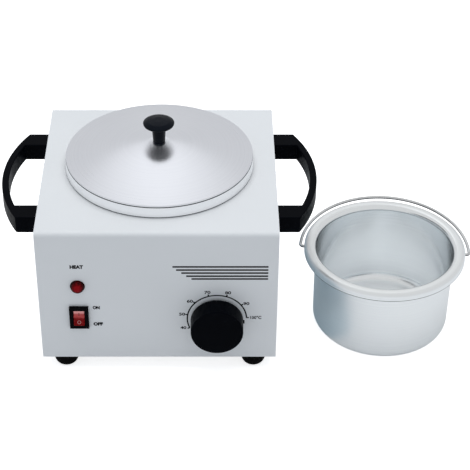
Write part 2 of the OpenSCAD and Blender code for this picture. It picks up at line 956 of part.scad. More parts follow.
module switch_body() {
    bay_w = rocker_w + 2*rocker_gap;
    bay_h = 2*(rocker_r + rocker_tip_gap);
    color([0.08, 0.08, 0.09]) at_housing() translate([controls_x, 0, switch_z]) difference() {
        union() {
            translate([-bezel_w/2, -bezel_t, -bezel_h/2]) cube([bezel_w, bezel_t, bezel_h]);
            translate([-switch_body_w/2, -switch_root, -switch_body_h/2])
                cube([switch_body_w, switch_body_d + switch_root, switch_body_h]);
        }
        translate([-bay_w/2, -bezel_t - through, -bay_h/2])
            cube([bay_w, bezel_t + well_depth_y + through, bay_h]);
        translate([-rocker_w/2 - axle_len - rocker_gap, pivot_y, 0])
            rod_x(axle_r + running_gap, rocker_w + 2*axle_len + 2*rocker_gap);
    }
}

module switch_terminals() {
    color("silver") at_housing()
        for (i = [-1 : 1])
            blade(controls_x, switch_blade_y, switch_z + i*blade_pitch);
}

// Lamp

module lamp_lens() {
    color("darkred") at_housing() translate([controls_x, 0, lamp_z]) difference() {
        union() {
            rotate([90, 0, 0]) rotate_extrude() intersection() {
                translate([0, lamp_dome - lamp_sphere_r]) circle(lamp_sphere_r);
                square([lamp_r, lamp_dome]);
            }
            rod_y(lamp_shank_r, lamp_shank_len);
        }
        rod_y(lamp_bore_r, lamp_shank_len + through);
    }
}

module lamp_nut() {
    color("gainsboro") at_housing() translate([controls_x, sheet_t, lamp_z])
        rotate([-90, 0, 0]) hex_nut(lamp_nut_r, lamp_shank_r + running_gap, lamp_nut_t);
}

module neon_bulb() {
    plug_y = lamp_shank_len - plug_len/2;
    color("orange") at_housing() translate([controls_x, plug_y, lamp_z]) {
        rod_y(lamp_bore_r - running_gap, plug_len);
        translate([0, -neon_len, 0]) rod_y(neon_r, neon_len + root);
    }
}

// Terminal block, earth stud and cord entry

module terminal_block() {
    color("ivory") at_housing() difference() {
        translate([block_x - block_w/2, block_y - block_d/2, floor_z]) cube([block_w, block_d, block_h]);
        for (i = [-1 : 1])
            translate([block_x + i*pole_pitch, block_y + pole_wall, pole_z]) rod_y(pole_r, block_d);
        for (i = [-1 : 1])
            translate([block_x + i*pole_pitch, pole_screw_y, pole_z]) cylinder(r = pole_r, h = block_h);
        block_screw_places()
            translate([0, 0, floor_z - through])
                cylinder(r = small_shank_r + running_gap, h = block_hole_depth);
    }
}

module terminal_screws() {
    head_z = floor_z + block_h - pole_screw_drop;
    color("silver") at_housing() {
        for (i = [-1 : 1])
            translate([block_x + i*pole_pitch, pole_screw_y, pole_z])
                cylinder(r = pole_r - running_gap, h = head_z - pole_z);
        block_screw_places() translate([0, 0, base_z]) small_screw(sheet_t + block_screw_in);
    }
}

module earth_stud() {
    color("goldenrod") at_housing() translate([earth_x, earth_y, base_z]) {
        large_screw(earth_len + sheet_t);
        translate([0, 0, sheet_t + eyelet_t]) cylinder(r = large_head_r, h = nut_h, $fn = 6);
        translate([0, 0, sheet_t]) cylinder(r = eyelet_r, h = eyelet_t);
        translate([-barrel_r, -barrel_end + barrel_len/2, sheet_t])
            cube([2*barrel_r, barrel_end - barrel_len/2, eyelet_t]);
        translate([0, -barrel_end, sheet_t + barrel_r]) rod_y(barrel_r, barrel_len);
    }
}

module cord_gland() {
    color("black") at_housing() translate([gland_x, back_y, gland_z]) difference() {
        union() {
            rotate([-90, 0, 0]) cylinder(r = gland_hex_r, h = gland_hex_t, $fn = 6);
            rod_y(gland_nose_r, gland_out);
            translate([0, -sheet_t - gland_in_len, 0]) rod_y(gland_thread_r, gland_in_len + sheet_t + root);
        }
        translate([0, -sheet_t - gland_in_len - through, 0])
            rod_y(gland_bore, gland_in_len + sheet_t + gland_out + 2*through);
    }
}

module gland_nut() {
    color("black") at_housing() translate([gland_x, wall_y - gland_nut_t, gland_z])
        rotate([-90, 0, 0]) hex_nut(gland_hex_r, gland_thread_r + running_gap, gland_nut_t);
}

// Wires, from face to face. Between its ends each route is a list of points chosen by hand,
// placed from the pieces that the wire passes.

live_route = [
    [block_x - pole_pitch, pole_y, pole_z], [block_x - pole_pitch, pole_y - lead_out, pole_z],
    [-72, pole_y - 22, floor_z + 8], [-74, pole_y - 56, floor_z + 10], [-70, switch_end + 25, floor_z + 20],
    [controls_x, switch_end + lead_out, switch_z - blade_pitch],
    [controls_x, switch_end, switch_z - blade_pitch]
];
switched_route = [
    [controls_x, switch_end, switch_z], [controls_x, switch_end + lead_out, switch_z],
    [-44, switch_end + 15, floor_z + 26], [0, switch_end + 11, floor_z + 16],
    [30, stat_end + 11, floor_z + 24], [dial_x - stat_blade_x, stat_end + lead_out, stat_blade_z],
    [dial_x - stat_blade_x, stat_end, stat_blade_z]
];
heater_route = [
    [dial_x + stat_blade_x, stat_end, stat_blade_z],
    [dial_x + stat_blade_x, stat_end + lead_out, stat_blade_z], [51, stat_end + 14, well_base - 12],
    [48, stat_end + 26, well_base - 10], [38, cutout_y - 27, well_base - 7],
    [cutout_end + lead_out + 4, cutout_y - 3, cutout_z], [cutout_end + lead_out, cutout_y, cutout_z],
    [cutout_end, cutout_y, cutout_z]
];
cutout_route = [
    [-cutout_end, cutout_y, cutout_z], [-cutout_end - lead_out, cutout_y, cutout_z],
    [-26, cutout_y + 11, well_base - 6], [-14, cutout_y + 29, well_base - 8], [-7, post_y - 2, well_base - 3],
    [-12, post_y + 7, post_z - 8], [-post_x, post_y + lead_out, post_z], [-post_x, post_y, post_z]
];
neutral_route = [
    [post_x, post_y, post_z], [post_x, post_y + lead_out, post_z], [4, post_y + 10, post_z - 12],
    [-14, post_y + 9, shield_z + 6], [-30, post_y, shield_z - 5], [-38, pole_y + 5, over_block_z],
    [-44, pole_y - 10, floor_z + 13], [block_x + pair_x, pole_y - lead_out, pole_z],
    [block_x + pair_x, pole_y, pole_z]
];
lamp_route = [
    [controls_x - pair_x, plug_end, lamp_z], [controls_x - pair_x, plug_end + lead_out, lamp_z],
    [-63, plug_end + 13, lamp_z - 8], [-62, switch_end + 10, switch_z + 14],
    [controls_x, switch_end + lead_out, switch_z + blade_pitch],
    [controls_x, switch_end, switch_z + blade_pitch]
];
lamp_neutral_route = [
    [controls_x + pair_x, plug_end, lamp_z], [controls_x + pair_x, plug_end + lead_out, lamp_z],
    [-56, plug_end + 17, lamp_z - 8], [-72, plug_end + 37, lamp_z - 26], [-79, pole_y - 56, shield_z - 6],
    [-78, pole_y - 33, floor_z + 22], [-64, pole_y - 16, floor_z + 18],
    [block_x - pair_x, pole_y - lead_out, pole_z], [block_x - pair_x, pole_y, pole_z]
];
earth_route = [
    [block_x + pole_pitch, pole_y, pole_z], [block_x + pole_pitch, pole_y - lead_out, pole_z],
    [-34, pole_y - 12, floor_z + 4], [-26, pole_y - 14, floor_z + 2],
    [earth_x, barrel_y - lead_out, barrel_z], [earth_x, barrel_y, barrel_z]
];

module internal_wires() {
    routes = [
        live_route, switched_route, heater_route, cutout_route,
        neutral_route, lamp_route, lamp_neutral_route, earth_route
    ];
    color("crimson") at_housing()
        for (route = routes)
            tube(route, lead_r, lead_sides, lead_steps);
}

// Lid

module lid_shell() {
    out_r = lid_r - lid_lean;
    edge_z = lid_z + skirt_h;
    color("silver") at_housing() translate([0, well_y, 0]) difference() {
        rotate_extrude() polygon(concat(
            [[lid_r, lid_z]],
            arc(out_r - lid_edge_r, edge_z - lid_edge_r, lid_edge_r, 0, 80),
            [[lid_flat_r, lid_apex], [0, lid_apex], [0, lid_apex - lid_t], [lid_flat_r, lid_apex - lid_t]],
            [[out_r - lid_edge_r, edge_z - lid_t], [out_r - lid_t, edge_z - lid_edge_r],
             [lid_r - lid_t, lid_z]]
        ));
        translate([0, 0, lid_apex - lid_t - through])
            cylinder(r = large_shank_r + screw_gap, h = lid_t + 2*through);
    }
}

module lid_knob() {
    knob_top = lid_apex + lid_knob_h;
    rim_z = knob_top - crown_h;
    crown_r = (cap_r*cap_r + crown_h*crown_h)/(2*crown_h);
    crown_a = crown_share*asin(cap_r/crown_r);
    under_z = knob_top - cap_drop;
    color("black") at_housing() translate([0, well_y, 0]) difference() {
        rotate_extrude() polygon(concat(
            [[0, lid_apex], [stem_r, lid_apex], [stem_r + stem_flare, under_z]],
            arc(cap_r - cap_edge_r, rim_z - cap_edge_r, cap_edge_r, -60, 0),
            arc(0, knob_top - crown_r, crown_r, 90 - crown_a, 90)
        ));
        translate([0, 0, lid_apex - through])
            cylinder(r = large_shank_r + running_gap, h = lid_screw_len + through);
    }
}

module lid_knob_screw() {
    head_z = lid_apex - lid_t - washer_t;
    color("silver") at_housing()
        translate([0, well_y, head_z]) large_screw(washer_t + lid_t + lid_screw_len - lid_screw_gap);
}

module lid_washer() {
    color("silver") at_housing()
        translate([0, well_y, lid_apex - lid_t - washer_t])
            ring(washer_r, large_shank_r + screw_gap, washer_t);
}

// Bucket

module bucket_profile() {
    inner = bucket_r - bucket_wall;
    mouth = inner + bucket_flare;
    inner_corner = bucket_corner - bucket_wall;
    skirt_z = bucket_h - rim_h;
    polygon(concat(
        [[0, 0]],
        arc(bucket_r - bucket_corner, bucket_corner, bucket_corner, -90, 0),
        arc(mouth + lip_r, bucket_h - lip_r, lip_r - bucket_wall, 180, 90),
        arc(rim_r - rim_top_r, bucket_h - rim_top_r, rim_top_r - bucket_wall, 90, 0),
        [[rim_r - bucket_wall, skirt_z], [rim_r, skirt_z]],
        arc(rim_r - rim_top_r, bucket_h - rim_top_r, rim_top_r, 0, 90),
        arc(mouth + lip_r, bucket_h - lip_r, lip_r, 90, 180),
        arc(inner - inner_corner, bucket_wall + inner_corner, inner_corner, 0, -90),
        [[0, bucket_wall]]
    ));
}

module bucket() {
    color("silver") at_bucket() difference() {
        rotate_extrude() bucket_profile();
        for (s = [0, 180])
            rotate(s) translate([rim_r - bucket_wall - through, 0, bail_z])
                rod_x(bail_hole_r, bucket_wall + 2*through);
    }
}

module bail() {
    end_x = rim_r - bucket_wall - bail_in;
    color("gray") at_bucket() translate([0, 0, bail_z]) {
        rotate([bail_tilt, 0, 0]) rotate_extrude(angle = 180) translate([bail_r, 0]) circle(wire_r);
        for (s = [0, 180])
            rotate(s) {
                translate([bail_r, 0, 0]) sphere(wire_r);
                translate([end_x, 0, 0]) rod_x(wire_r, bail_r - end_x);
            }
    }
}

housing_wrap();
side_panel_left();
side_panel_right();
base_plate();
base_screws();
foot_front_left();
foot_front_right();
foot_rear_left();
foot_rear_right();
foot_screws();
foot_nuts();
handle_left();
handle_right();
handle_screws();
heater_well();
well_screws();
well_nuts();
band_heater();
band_clamp_screw();
insulation_sleeve();
heat_shield();
shield_standoffs();
shield_screws();
thermal_cutout();
thermostat_body();
thermostat_shaft();
thermostat_screws();
sensor_bulb();
capillary();
bulb_clips();
control_knob();
switch_body();
rocker();
switch_terminals();
lamp_lens();
lamp_nut();
neon_bulb();
terminal_block();
terminal_screws();
earth_stud();
internal_wires();
cord_gland();
gland_nut();
lid_shell();
lid_knob();
lid_knob_screw();
lid_washer();
bucket();
bail();
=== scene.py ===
"""Looks of the wax heater and of the bucket beside it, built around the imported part.

Metres, +Z up, and -Y is the front. Small lengths are written as millimetres times MM, and those of the
print as plain millimetres.
"""

import json
import math

import bmesh
import bpy
from mathutils import Matrix, Vector


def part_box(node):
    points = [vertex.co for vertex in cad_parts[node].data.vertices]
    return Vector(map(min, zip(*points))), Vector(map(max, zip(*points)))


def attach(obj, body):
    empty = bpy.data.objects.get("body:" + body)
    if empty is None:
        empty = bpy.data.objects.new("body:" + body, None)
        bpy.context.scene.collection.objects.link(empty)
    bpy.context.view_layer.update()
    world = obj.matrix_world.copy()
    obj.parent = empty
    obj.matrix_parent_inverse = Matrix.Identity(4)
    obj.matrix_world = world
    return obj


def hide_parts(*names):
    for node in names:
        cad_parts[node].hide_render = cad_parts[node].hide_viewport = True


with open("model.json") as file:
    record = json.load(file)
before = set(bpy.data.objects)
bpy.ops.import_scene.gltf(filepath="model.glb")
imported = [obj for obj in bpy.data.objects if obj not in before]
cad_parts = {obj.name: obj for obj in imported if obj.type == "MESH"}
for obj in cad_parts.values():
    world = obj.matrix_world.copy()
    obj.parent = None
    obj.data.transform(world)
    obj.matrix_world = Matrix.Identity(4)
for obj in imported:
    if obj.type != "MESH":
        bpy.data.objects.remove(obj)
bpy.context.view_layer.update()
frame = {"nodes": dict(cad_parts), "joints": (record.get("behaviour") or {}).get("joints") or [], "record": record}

MM = 0.001
nodes = frame["nodes"]


# Places, read from the frame

def middle(node):
    low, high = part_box(node)
    return (low + high) / 2


wrap_low, wrap_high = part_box("housing_wrap")
housing_x = (wrap_low.x + wrap_high.x) / 2
front_y = wrap_low.y
housing_bottom = wrap_low.z
dial = middle("thermostat_shaft")
lamp_low, lamp_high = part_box("lamp_lens")
lamp = middle("lamp_lens")
rocker = middle("rocker")
lid_low, lid_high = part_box("lid_shell")
lid = middle("lid_shell")
bucket_low, bucket_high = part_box("bucket")
bucket = middle("bucket")
bail_joint = next(j for j in frame["joints"] if j["name"] == "bail_swing")
bail_pivot = Vector(bail_joint["pos_m"])
bail_axis = Vector(bail_joint["axis"])


# Meshes

SHARP_ANGLE = math.radians(35)
BLOCK_SHARP_ANGLE = math.radians(40)
FLAT_ANGLE = math.radians(0.4)
FLAT_WEIGHT = 100
PANEL_AREA = (20 * MM) ** 2
EDGE_SEGMENTS = 3
WELD_GAP = 1e-6
ON_AXIS = 1e-7


def add_object(name, mesh):
    made = bpy.data.objects.new(name, mesh)
    bpy.context.scene.collection.objects.link(made)
    return made


def mesh_object(name, points, faces):
    """A smooth-shaded mesh whose edges past SHARP_ANGLE stay sharp."""
    shape = bmesh.new()
    corners = [shape.verts.new(p) for p in points]
    for face in faces:
        shape.faces.new([corners[i] for i in face])
    bmesh.ops.recalc_face_normals(shape, faces=shape.faces)
    mesh = bpy.data.meshes.new(name)
    shape.to_mesh(mesh)
    shape.free()
    mesh.shade_smooth()
    mesh.set_sharp_from_angle(angle=SHARP_ANGLE)
    return add_object(name, mesh)


def rounded(corners, steps=6):
    """A line through (x, y) corners. A third number in a corner is the radius of its fillet."""
    line = []
    for i, corner in enumerate(corners):
        here = Vector(corner[:2])
        if len(corner) == 2:
            line.append(tuple(here))
            continue
        back = (Vector(corners[i - 1][:2]) - here).normalized()
        on = (Vector(corners[(i + 1) % len(corners)][:2]) - here).normalized()
        half = back.angle(on) / 2
        centre = here + (back + on).normalized() * corner[2] / math.sin(half)
        reach = corner[2] / math.tan(half)
        first = here + back * reach - centre
        last = here + on * reach - centre
        turn = math.atan2(first.x * last.y - first.y * last.x, first.dot(last))
        start = math.atan2(first.y, first.x)
        for k in range(steps + 1):
            a = start + turn * k / steps
            line.append((centre.x + corner[2] * math.cos(a), centre.y + corner[2] * math.sin(a)))
    return line


def lathe(name, profile, place, steps=128, closed=False, axis="Z"):
    """The profile's (radius, height) points turned about the axis through place.

    The axis "-Y" points the height forward.
    """
    points, faces, rings = [], [], []
    for radius, height in profile:
        count = 1 if radius < ON_AXIS else steps
        rings.append([len(points) + k for k in range(count)])
        for k in range(count):
            a = 2 * math.pi * k / steps
            points.append((radius * math.cos(a), radius * math.sin(a), height))
    for a, b in zip(rings, rings[1:] + (rings[:1] if closed else [])):
        if len(a) == len(b) == 1:
            continue
        for k in range(steps):
            n = (k + 1) % steps
            if len(a) == 1:
                faces.append((a[0], b[k], b[n]))
            elif len(b) == 1:
                faces.append((a[k], a[n], b[0]))
            else:
                faces.append((a[k], a[n], b[n], b[k]))
    made = mesh_object(name, points, faces)
    made.location = place
    if axis == "-Y":
        made.rotation_euler = (math.radians(90), 0, 0)
    return made


def sweep(name, path, radius, sides=16):
    """A round wire along the path, with flat ends."""
    path = [Vector(p) for p in path]
    count = len(path)
    points, faces = [], []
    side = None
    for i, here in enumerate(path):
        along = (path[min(i + 1, count - 1)] - path[max(i - 1, 0)]).normalized()
        if side is None:
            side = along.orthogonal()
        side = (side - along * side.dot(along)).normalized()
        other = along.cross(side)
        for k in range(sides):
            a = 2 * math.pi * k / sides
            points.append(here + (side * math.cos(a) + other * math.sin(a)) * radius)
    for i in range(count - 1):
        for k in range(sides):
            n = (k + 1) % sides
            faces.append((i * sides + k, i * sides + n, (i + 1) * sides + n, (i + 1) * sides + k))
    faces.append(tuple(range(sides))[::-1])
    faces.append(tuple((count - 1) * sides + k for k in range(sides)))
    return mesh_object(name, points, faces)


def softened(name, node, width, shortest=0.0):
    """The node's shape as a new object, whose sharp edges past the shortest length are rounded.

    Faces past PANEL_AREA are shaded flat.
    """
    shape = bmesh.new()
    shape.from_mesh(nodes[node].data)
    bmesh.ops.remove_doubles(shape, verts=shape.verts, dist=WELD_GAP)
    bmesh.ops.dissolve_limit(shape, angle_limit=FLAT_ANGLE, verts=shape.verts, edges=shape.edges)
    weight = shape.edges.layers.float.new("bevel_weight_edge")
    for edge in shape.edges:
        sharp = len(edge.link_faces) == 2 and edge.calc_face_angle() > SHARP_ANGLE
        edge[weight] = float(sharp and edge.calc_length() > shortest)
    mesh = bpy.data.meshes.new(name)
    shape.to_mesh(mesh)
    shape.free()
    if "custom_normal" in mesh.attributes:
        mesh.attributes.remove(mesh.attributes["custom_normal"])
    mesh.shade_smooth()
    for face in mesh.polygons:
        face.use_smooth = face.area < PANEL_AREA
    made = add_object(name, mesh)
    bevel = made.modifiers.new("edges", "BEVEL")
    bevel.width = width
    bevel.segments = EDGE_SEGMENTS
    bevel.limit_method = "WEIGHT"
    bevel.use_clamp_overlap = False
    weighted = made.modifiers.new("normals", "WEIGHTED_NORMAL")
    weighted.keep_sharp = True
    weighted.weight = FLAT_WEIGHT
    return made


def drilled(made, cutters):
    """Cuts the cutter objects out of the mesh and removes them."""
    for cutter in cutters:
        cut = made.modifiers.new("hole", "BOOLEAN")
        cut.operation = "DIFFERENCE"
        cut.solver = "EXACT"
        cut.object = cutter
    graph = bpy.context.evaluated_depsgraph_get()
    mesh = bpy.data.meshes.new_from_object(made.evaluated_get(graph))
    made.modifiers.clear()
    made.data = mesh
    mesh.shade_smooth()
    mesh.set_sharp_from_angle(angle=SHARP_ANGLE)
    for cutter in cutters:
        bpy.data.objects.remove(cutter)


def block(name, low, high, edge, segments=EDGE_SEGMENTS):
    """A box between two corners with rounded edges."""
    shape = bmesh.new()
    bmesh.ops.create_cube(shape, size=1)
    size = Vector(high) - Vector(low)
    centre = (Vector(high) + Vector(low)) / 2
    for v in shape.verts:
        v.co = Vector((v.co.x * size.x, v.co.y * size.y, v.co.z * size.z)) + centre
    bmesh.ops.bevel(shape, geom=shape.edges[:], offset=edge, segments=segments, affect="EDGES", profile=0.5)
    mesh = bpy.data.meshes.new(name)
    shape.to_mesh(mesh)
    shape.free()
    mesh.shade_smooth()
    mesh.set_sharp_from_angle(angle=BLOCK_SHARP_ANGLE)
    return add_object(name, mesh)


# Sizes that the materials and the shapes share

LID_SKIRT = 10.5 * MM
CREASE_TOP = 0.9 * MM
BUCKET_BODY = 55.1 * MM
RIM_DROP = 6.6 * MM
BAIL_TILT = math.radians(4.5)


# Materials: colours, lowest and highest roughness, and where each finish starts and ends

RAMP_START = 0.3
RAMP_END = 0.7

PAINT_BASE = (0.80, 0.825, 0.85)
PAINT_CHANGE = 0.012
PAINT_CLOUD = 14
PAINT_ROUGH = (0.33, 0.42)
PAINT_SHEEN = 60
PEEL_SCALE = 900
PEEL_DEPTH = 0.03 * MM
PEEL_STRENGTH = 0.5

METAL_CHANGE = 0.04
RING_SHARE = 0.7
CLOUD_SHARE = 0.3
CLOUD_SCALE = 25
RING_DEPTH = 0.01 * MM
RING_STRENGTH = 0.12
STREAK_DEPTH = 0.01 * MM
STREAK_STRENGTH = 0.4

ZINC_BASE = (0.70, 0.71, 0.72)
ZINC_CHANGE = 0.07
ZINC_ROUGH = (0.38, 0.5)
ZINC_SPANGLE = 120

PLASTIC_CLOUD = 90
PLASTIC_SHEEN = 200
GRAIN_STRENGTH = 0.5

WOOL_BASE = (0.72, 0.66, 0.45)
WOOL_CHANGE = 0.25
WOOL_ROUGH = 0.95
WOOL_FIBRES = 700
WOOL_DEPTH = 0.6 * MM

LID_BASE = (0.88, 0.905, 0.97)
LID_ROUGH = (0.27, 0.32)
LID_STRETCH = 0.88
LID_RINGS = 1600
# Painted highlight: the skirt is painted lighter than the rest of the same metal.
SKIRT_PAINTED_LIGHT = (0.98, 0.985, 0.995)
SKIRT_DROP = 0.5 * MM
# Painted shade: a dark line in the lid's crease and one along its lower edge, above the housing.
LID_PAINTED_SHADE = (0.2, 0.21, 0.22)
EDGE_SHADE_RISE = 0.7 * MM
CREASE_SHADE_DROP = 1.8 * MM

BUCKET_BASE = (0.925, 0.955, 0.985)
BUCKET_ROUGH = (0.32, 0.42)
BUCKET_STRETCH = 0.2
BUCKET_RINGS = 900
BUCKET_POLISH = 0.18
POLISH_FULL = 45 * MM
BUCKET_FROST = 0.85
FROST_HEIGHTS = (0.6 * MM, 3 * MM)
FROST_FADE = (41 * MM, 46 * MM)
# Painted shadow: a thin dark band on the wall just under the rolled rim.
RIM_SHADOW_BASE = (0.05, 0.055, 0.06)
RIM_SHADOW_BELOW = 0.2 * MM
RIM_SHADOW_ABOVE = 0.7 * MM
RIM_SHADOW_OUT = 2 * MM

RED_SPECULAR = 0.05
ROCKER_ROUGH = 0.16
# Painted light on the rocker: shade towards its lower end, pale light at its upper half, and a faint glow.
ROCKER_SHADED_RED = (0.17, 0.004, 0.005)
ROCKER_RED = (0.46, 0.07, 0.07)
ROCKER_LIT_PALE = (0.8, 0.36, 0.35)
ROCKER_SHADE_FADE = (-0.6 * MM, 0.9 * MM)
ROCKER_LIT_FADE = (3.5 * MM, 5.5 * MM)
ROCKER_PAINTED_GLOW = 0.1
ROCKER_CLOUD = 500
ROCKER_UNEVEN = 0.12
ROCKER_GRAIN = 900
ROCKER_GRAIN_DEPTH = 0.02 * MM
ROCKER_GRAIN_STRENGTH = 0.3

# Painted light on the lens: brighter at its middle, darker towards its rim, and lighter and darker facets.
LENS_ROUGH = 0.2
LENS_SHADED_RED = (0.02, 0.0006, 0.001)
LENS_RED = (0.27, 0.004, 0.008)
LENS_PAINTED_LIGHT = (0.75, 0.25)
LENS_LIGHT_UP = 0.9 * MM
LENS_LIGHT_FADE = (1.2 * MM, 5.0 * MM)
LENS_FACETS = 700
FACET_REACH = 0.9
FACET_SHADE = 0.1
FACET_DEPTH = 0.15 * MM
FACET_STRENGTH = 0.25

AMBER_BASE = (0.9, 0.5, 0.25)
AMBER_CHANGE = 0.1
AMBER_ROUGH = 0.08
AMBER_CLEAR = 0.8
AMBER_CLOUD = 400

# Painted shade on the bail: its underside is darker.
BAIL_PAINTED_SHADE = (0.11, 0.11, 0.12)
BAIL_BRIGHT = (0.68, 0.69, 0.7)
BAIL_SHADE_FADE = (0.3 * MM, 0.6 * MM)
BAIL_ROUGH = (0.12, 0.2)
BAIL_SHEEN = 600
BAIL_STREAKS = 300
BAIL_UNEVEN = 0.05


def new_material(name, metallic=0.0, roughness=0.5):
    material = bpy.data.materials.new(name)
    material.use_nodes = True
    shader = material.node_tree.nodes["Principled BSDF"]
    shader.inputs["Metallic"].default_value = metallic
    shader.inputs["Roughness"].default_value = roughness
    return material


def shader_of(material):
    return material.node_tree.nodes["Principled BSDF"]


def add_node(material, kind, **settings):
    node = material.node_tree.nodes.new(kind)
    for key, value in settings.items():
        setattr(node, key, value)
    return node


def link(material, source, target):
    material.node_tree.links.new(source, target)


def object_place(material):
    return add_node(material, "ShaderNodeTexCoord").outputs["Object"]


def place_of(material):
    """The X, Y and Z outputs of the place on the object."""
    node = add_node(material, "ShaderNodeSeparateXYZ")
    link(material, object_place(material), node.inputs[0])
    return node.outputs


def noise(material, scale, detail=3, vector=None):
    """Noise of a feature size of about 1/scale metres."""
    node = add_node(material, "ShaderNodeTexNoise")
    node.inputs["Scale"].default_value = scale
    node.inputs["Detail"].default_value = detail
    link(material, vector or object_place(material), node.inputs["Vector"])
    return node.outputs["Fac"]


def blend_colours(material, factor, low, high):
    """The colour runs from low to high as the factor goes from RAMP_START to RAMP_END."""
    node = add_node(material, "ShaderNodeValToRGB")
    node.color_ramp.elements[0].position = RAMP_START
    node.color_ramp.elements[0].color = (*low, 1)
    node.color_ramp.elements[1].position = RAMP_END
    node.color_ramp.elements[1].color = (*high, 1)
    link(material, factor, node.inputs["Fac"])
    return node.outputs["Color"]


def spread(material, value, low, high, start=RAMP_START, end=RAMP_END):
    node = add_node(material, "ShaderNodeMapRange")
    node.inputs["From Min"].default_value = start
    node.inputs["From Max"].default_value = end
    node.inputs["To Min"].default_value = low
    node.inputs["To Max"].default_value = high
    link(material, value, node.inputs["Value"])
    return node.outputs["Result"]


def maths(material, operation, first, second):
    node = add_node(material, "ShaderNodeMath", operation=operation)
    for socket, value in zip(node.inputs, (first, second)):
        if isinstance(value, (int, float)):
            socket.default_value = value
        else:
            link(material, value, socket)
    return node.outputs[0]


def between(material, value, low, high):
    """1 where the value lies between low and high, and 0 elsewhere."""
    return maths(material, "MULTIPLY", maths(material, "GREATER_THAN", value, low),
                 maths(material, "LESS_THAN", value, high))


def distance(material, x, y):
    """The distance of the point (x, y) from (0, 0)."""
    squares = maths(material, "ADD", maths(material, "POWER", x, 2), maths(material, "POWER", y, 2))
    return maths(material, "SQRT", squares, 0)


def laid_over(material, factor, under, colour):
    """The colour over the one that comes from under, as far as the factor says."""
    layer = add_node(material, "ShaderNodeMix", data_type="RGBA")
    link(material, factor, layer.inputs["Factor"])
    link(material, under, layer.inputs["A"])
    layer.inputs["B"].default_value = (*colour, 1)
    return layer.outputs["Result"]


def add_bump(material, height, depth, strength=1.0):
    node = add_node(material, "ShaderNodeBump")
    node.inputs["Strength"].default_value = strength
    node.inputs["Distance"].default_value = depth
    link(material, height, node.inputs["Height"])
    link(material, node.outputs["Normal"], shader_of(material).inputs["Normal"])


def tinted(material, factor, colour, change):
    """Base colour that varies by the given share about the colour."""
    low = tuple(c * (1 - change) for c in colour)
    high = tuple(min(c * (1 + change), 1) for c in colour)
    link(material, blend_colours(material, factor, low, high), shader_of(material).inputs["Base Color"])


def rough(material, factor, low, high):
    link(material, spread(material, factor, low, high), shader_of(material).inputs["Roughness"])


def white_paint():
    """Powder coat: cool white, faintly uneven, with a fine orange peel."""
    material = new_material("white_paint")
    tinted(material, noise(material, PAINT_CLOUD), PAINT_BASE, PAINT_CHANGE)
    rough(material, noise(material, PAINT_SHEEN, 5), *PAINT_ROUGH)
    add_bump(material, noise(material, PEEL_SCALE, 2), PEEL_DEPTH, PEEL_STRENGTH)
    return material


def turned_metal(name, colour, low, high, anisotropy, ring_scale):
    """Aluminium turned on a lathe: fine rings round its axis, which stretch its highlights."""
    material = new_material(name, metallic=1.0)
    shader = shader_of(material)
    shader.inputs["Anisotropic"].default_value = anisotropy
    tangent = add_node(material, "ShaderNodeTangent", direction_type="RADIAL", axis="Z")
    link(material, tangent.outputs[0], shader.inputs["Tangent"])
    place = place_of(material)
    ring_place = add_node(material, "ShaderNodeCombineXYZ")
    link(material, distance(material, place["X"], place["Y"]), ring_place.inputs["X"])
    link(material, place["Z"], ring_place.inputs["Y"])
    rings = noise(material, ring_scale, 4, ring_place.outputs[0])
    cloud = noise(material, CLOUD_SCALE, 4)
    both = maths(material, "ADD", maths(material, "MULTIPLY", rings, RING_SHARE),
                 maths(material, "MULTIPLY", cloud, CLOUD_SHARE))
    tinted(material, both, colour, METAL_CHANGE)
    rough(material, both, low, high)
    add_bump(material, rings, RING_DEPTH, RING_STRENGTH)
    return material


def lid_aluminium():
    """Turned aluminium, its skirt painted lighter, with painted shade in its crease and along its lower edge."""
    material = turned_metal("lid_aluminium", LID_BASE, *LID_ROUGH, LID_STRETCH, LID_RINGS)
    base = shader_of(material).inputs["Base Color"]
    height = place_of(material)["Z"]
    skirt = maths(material, "LESS_THAN", height, LID_SKIRT - SKIRT_DROP)
    # painted shade in the crease and along the lower edge
    painted_shade = maths(material, "ADD", maths(material, "LESS_THAN", height, EDGE_SHADE_RISE),
                 between(material, height, LID_SKIRT - CREASE_SHADE_DROP, LID_SKIRT - CREASE_TOP))
    # the skirt painted lighter, a painted highlight
    brighter = laid_over(material, skirt, base.links[0].from_socket, SKIRT_PAINTED_LIGHT)
    link(material, laid_over(material, painted_shade, brighter, LID_PAINTED_SHADE), base)
    return material


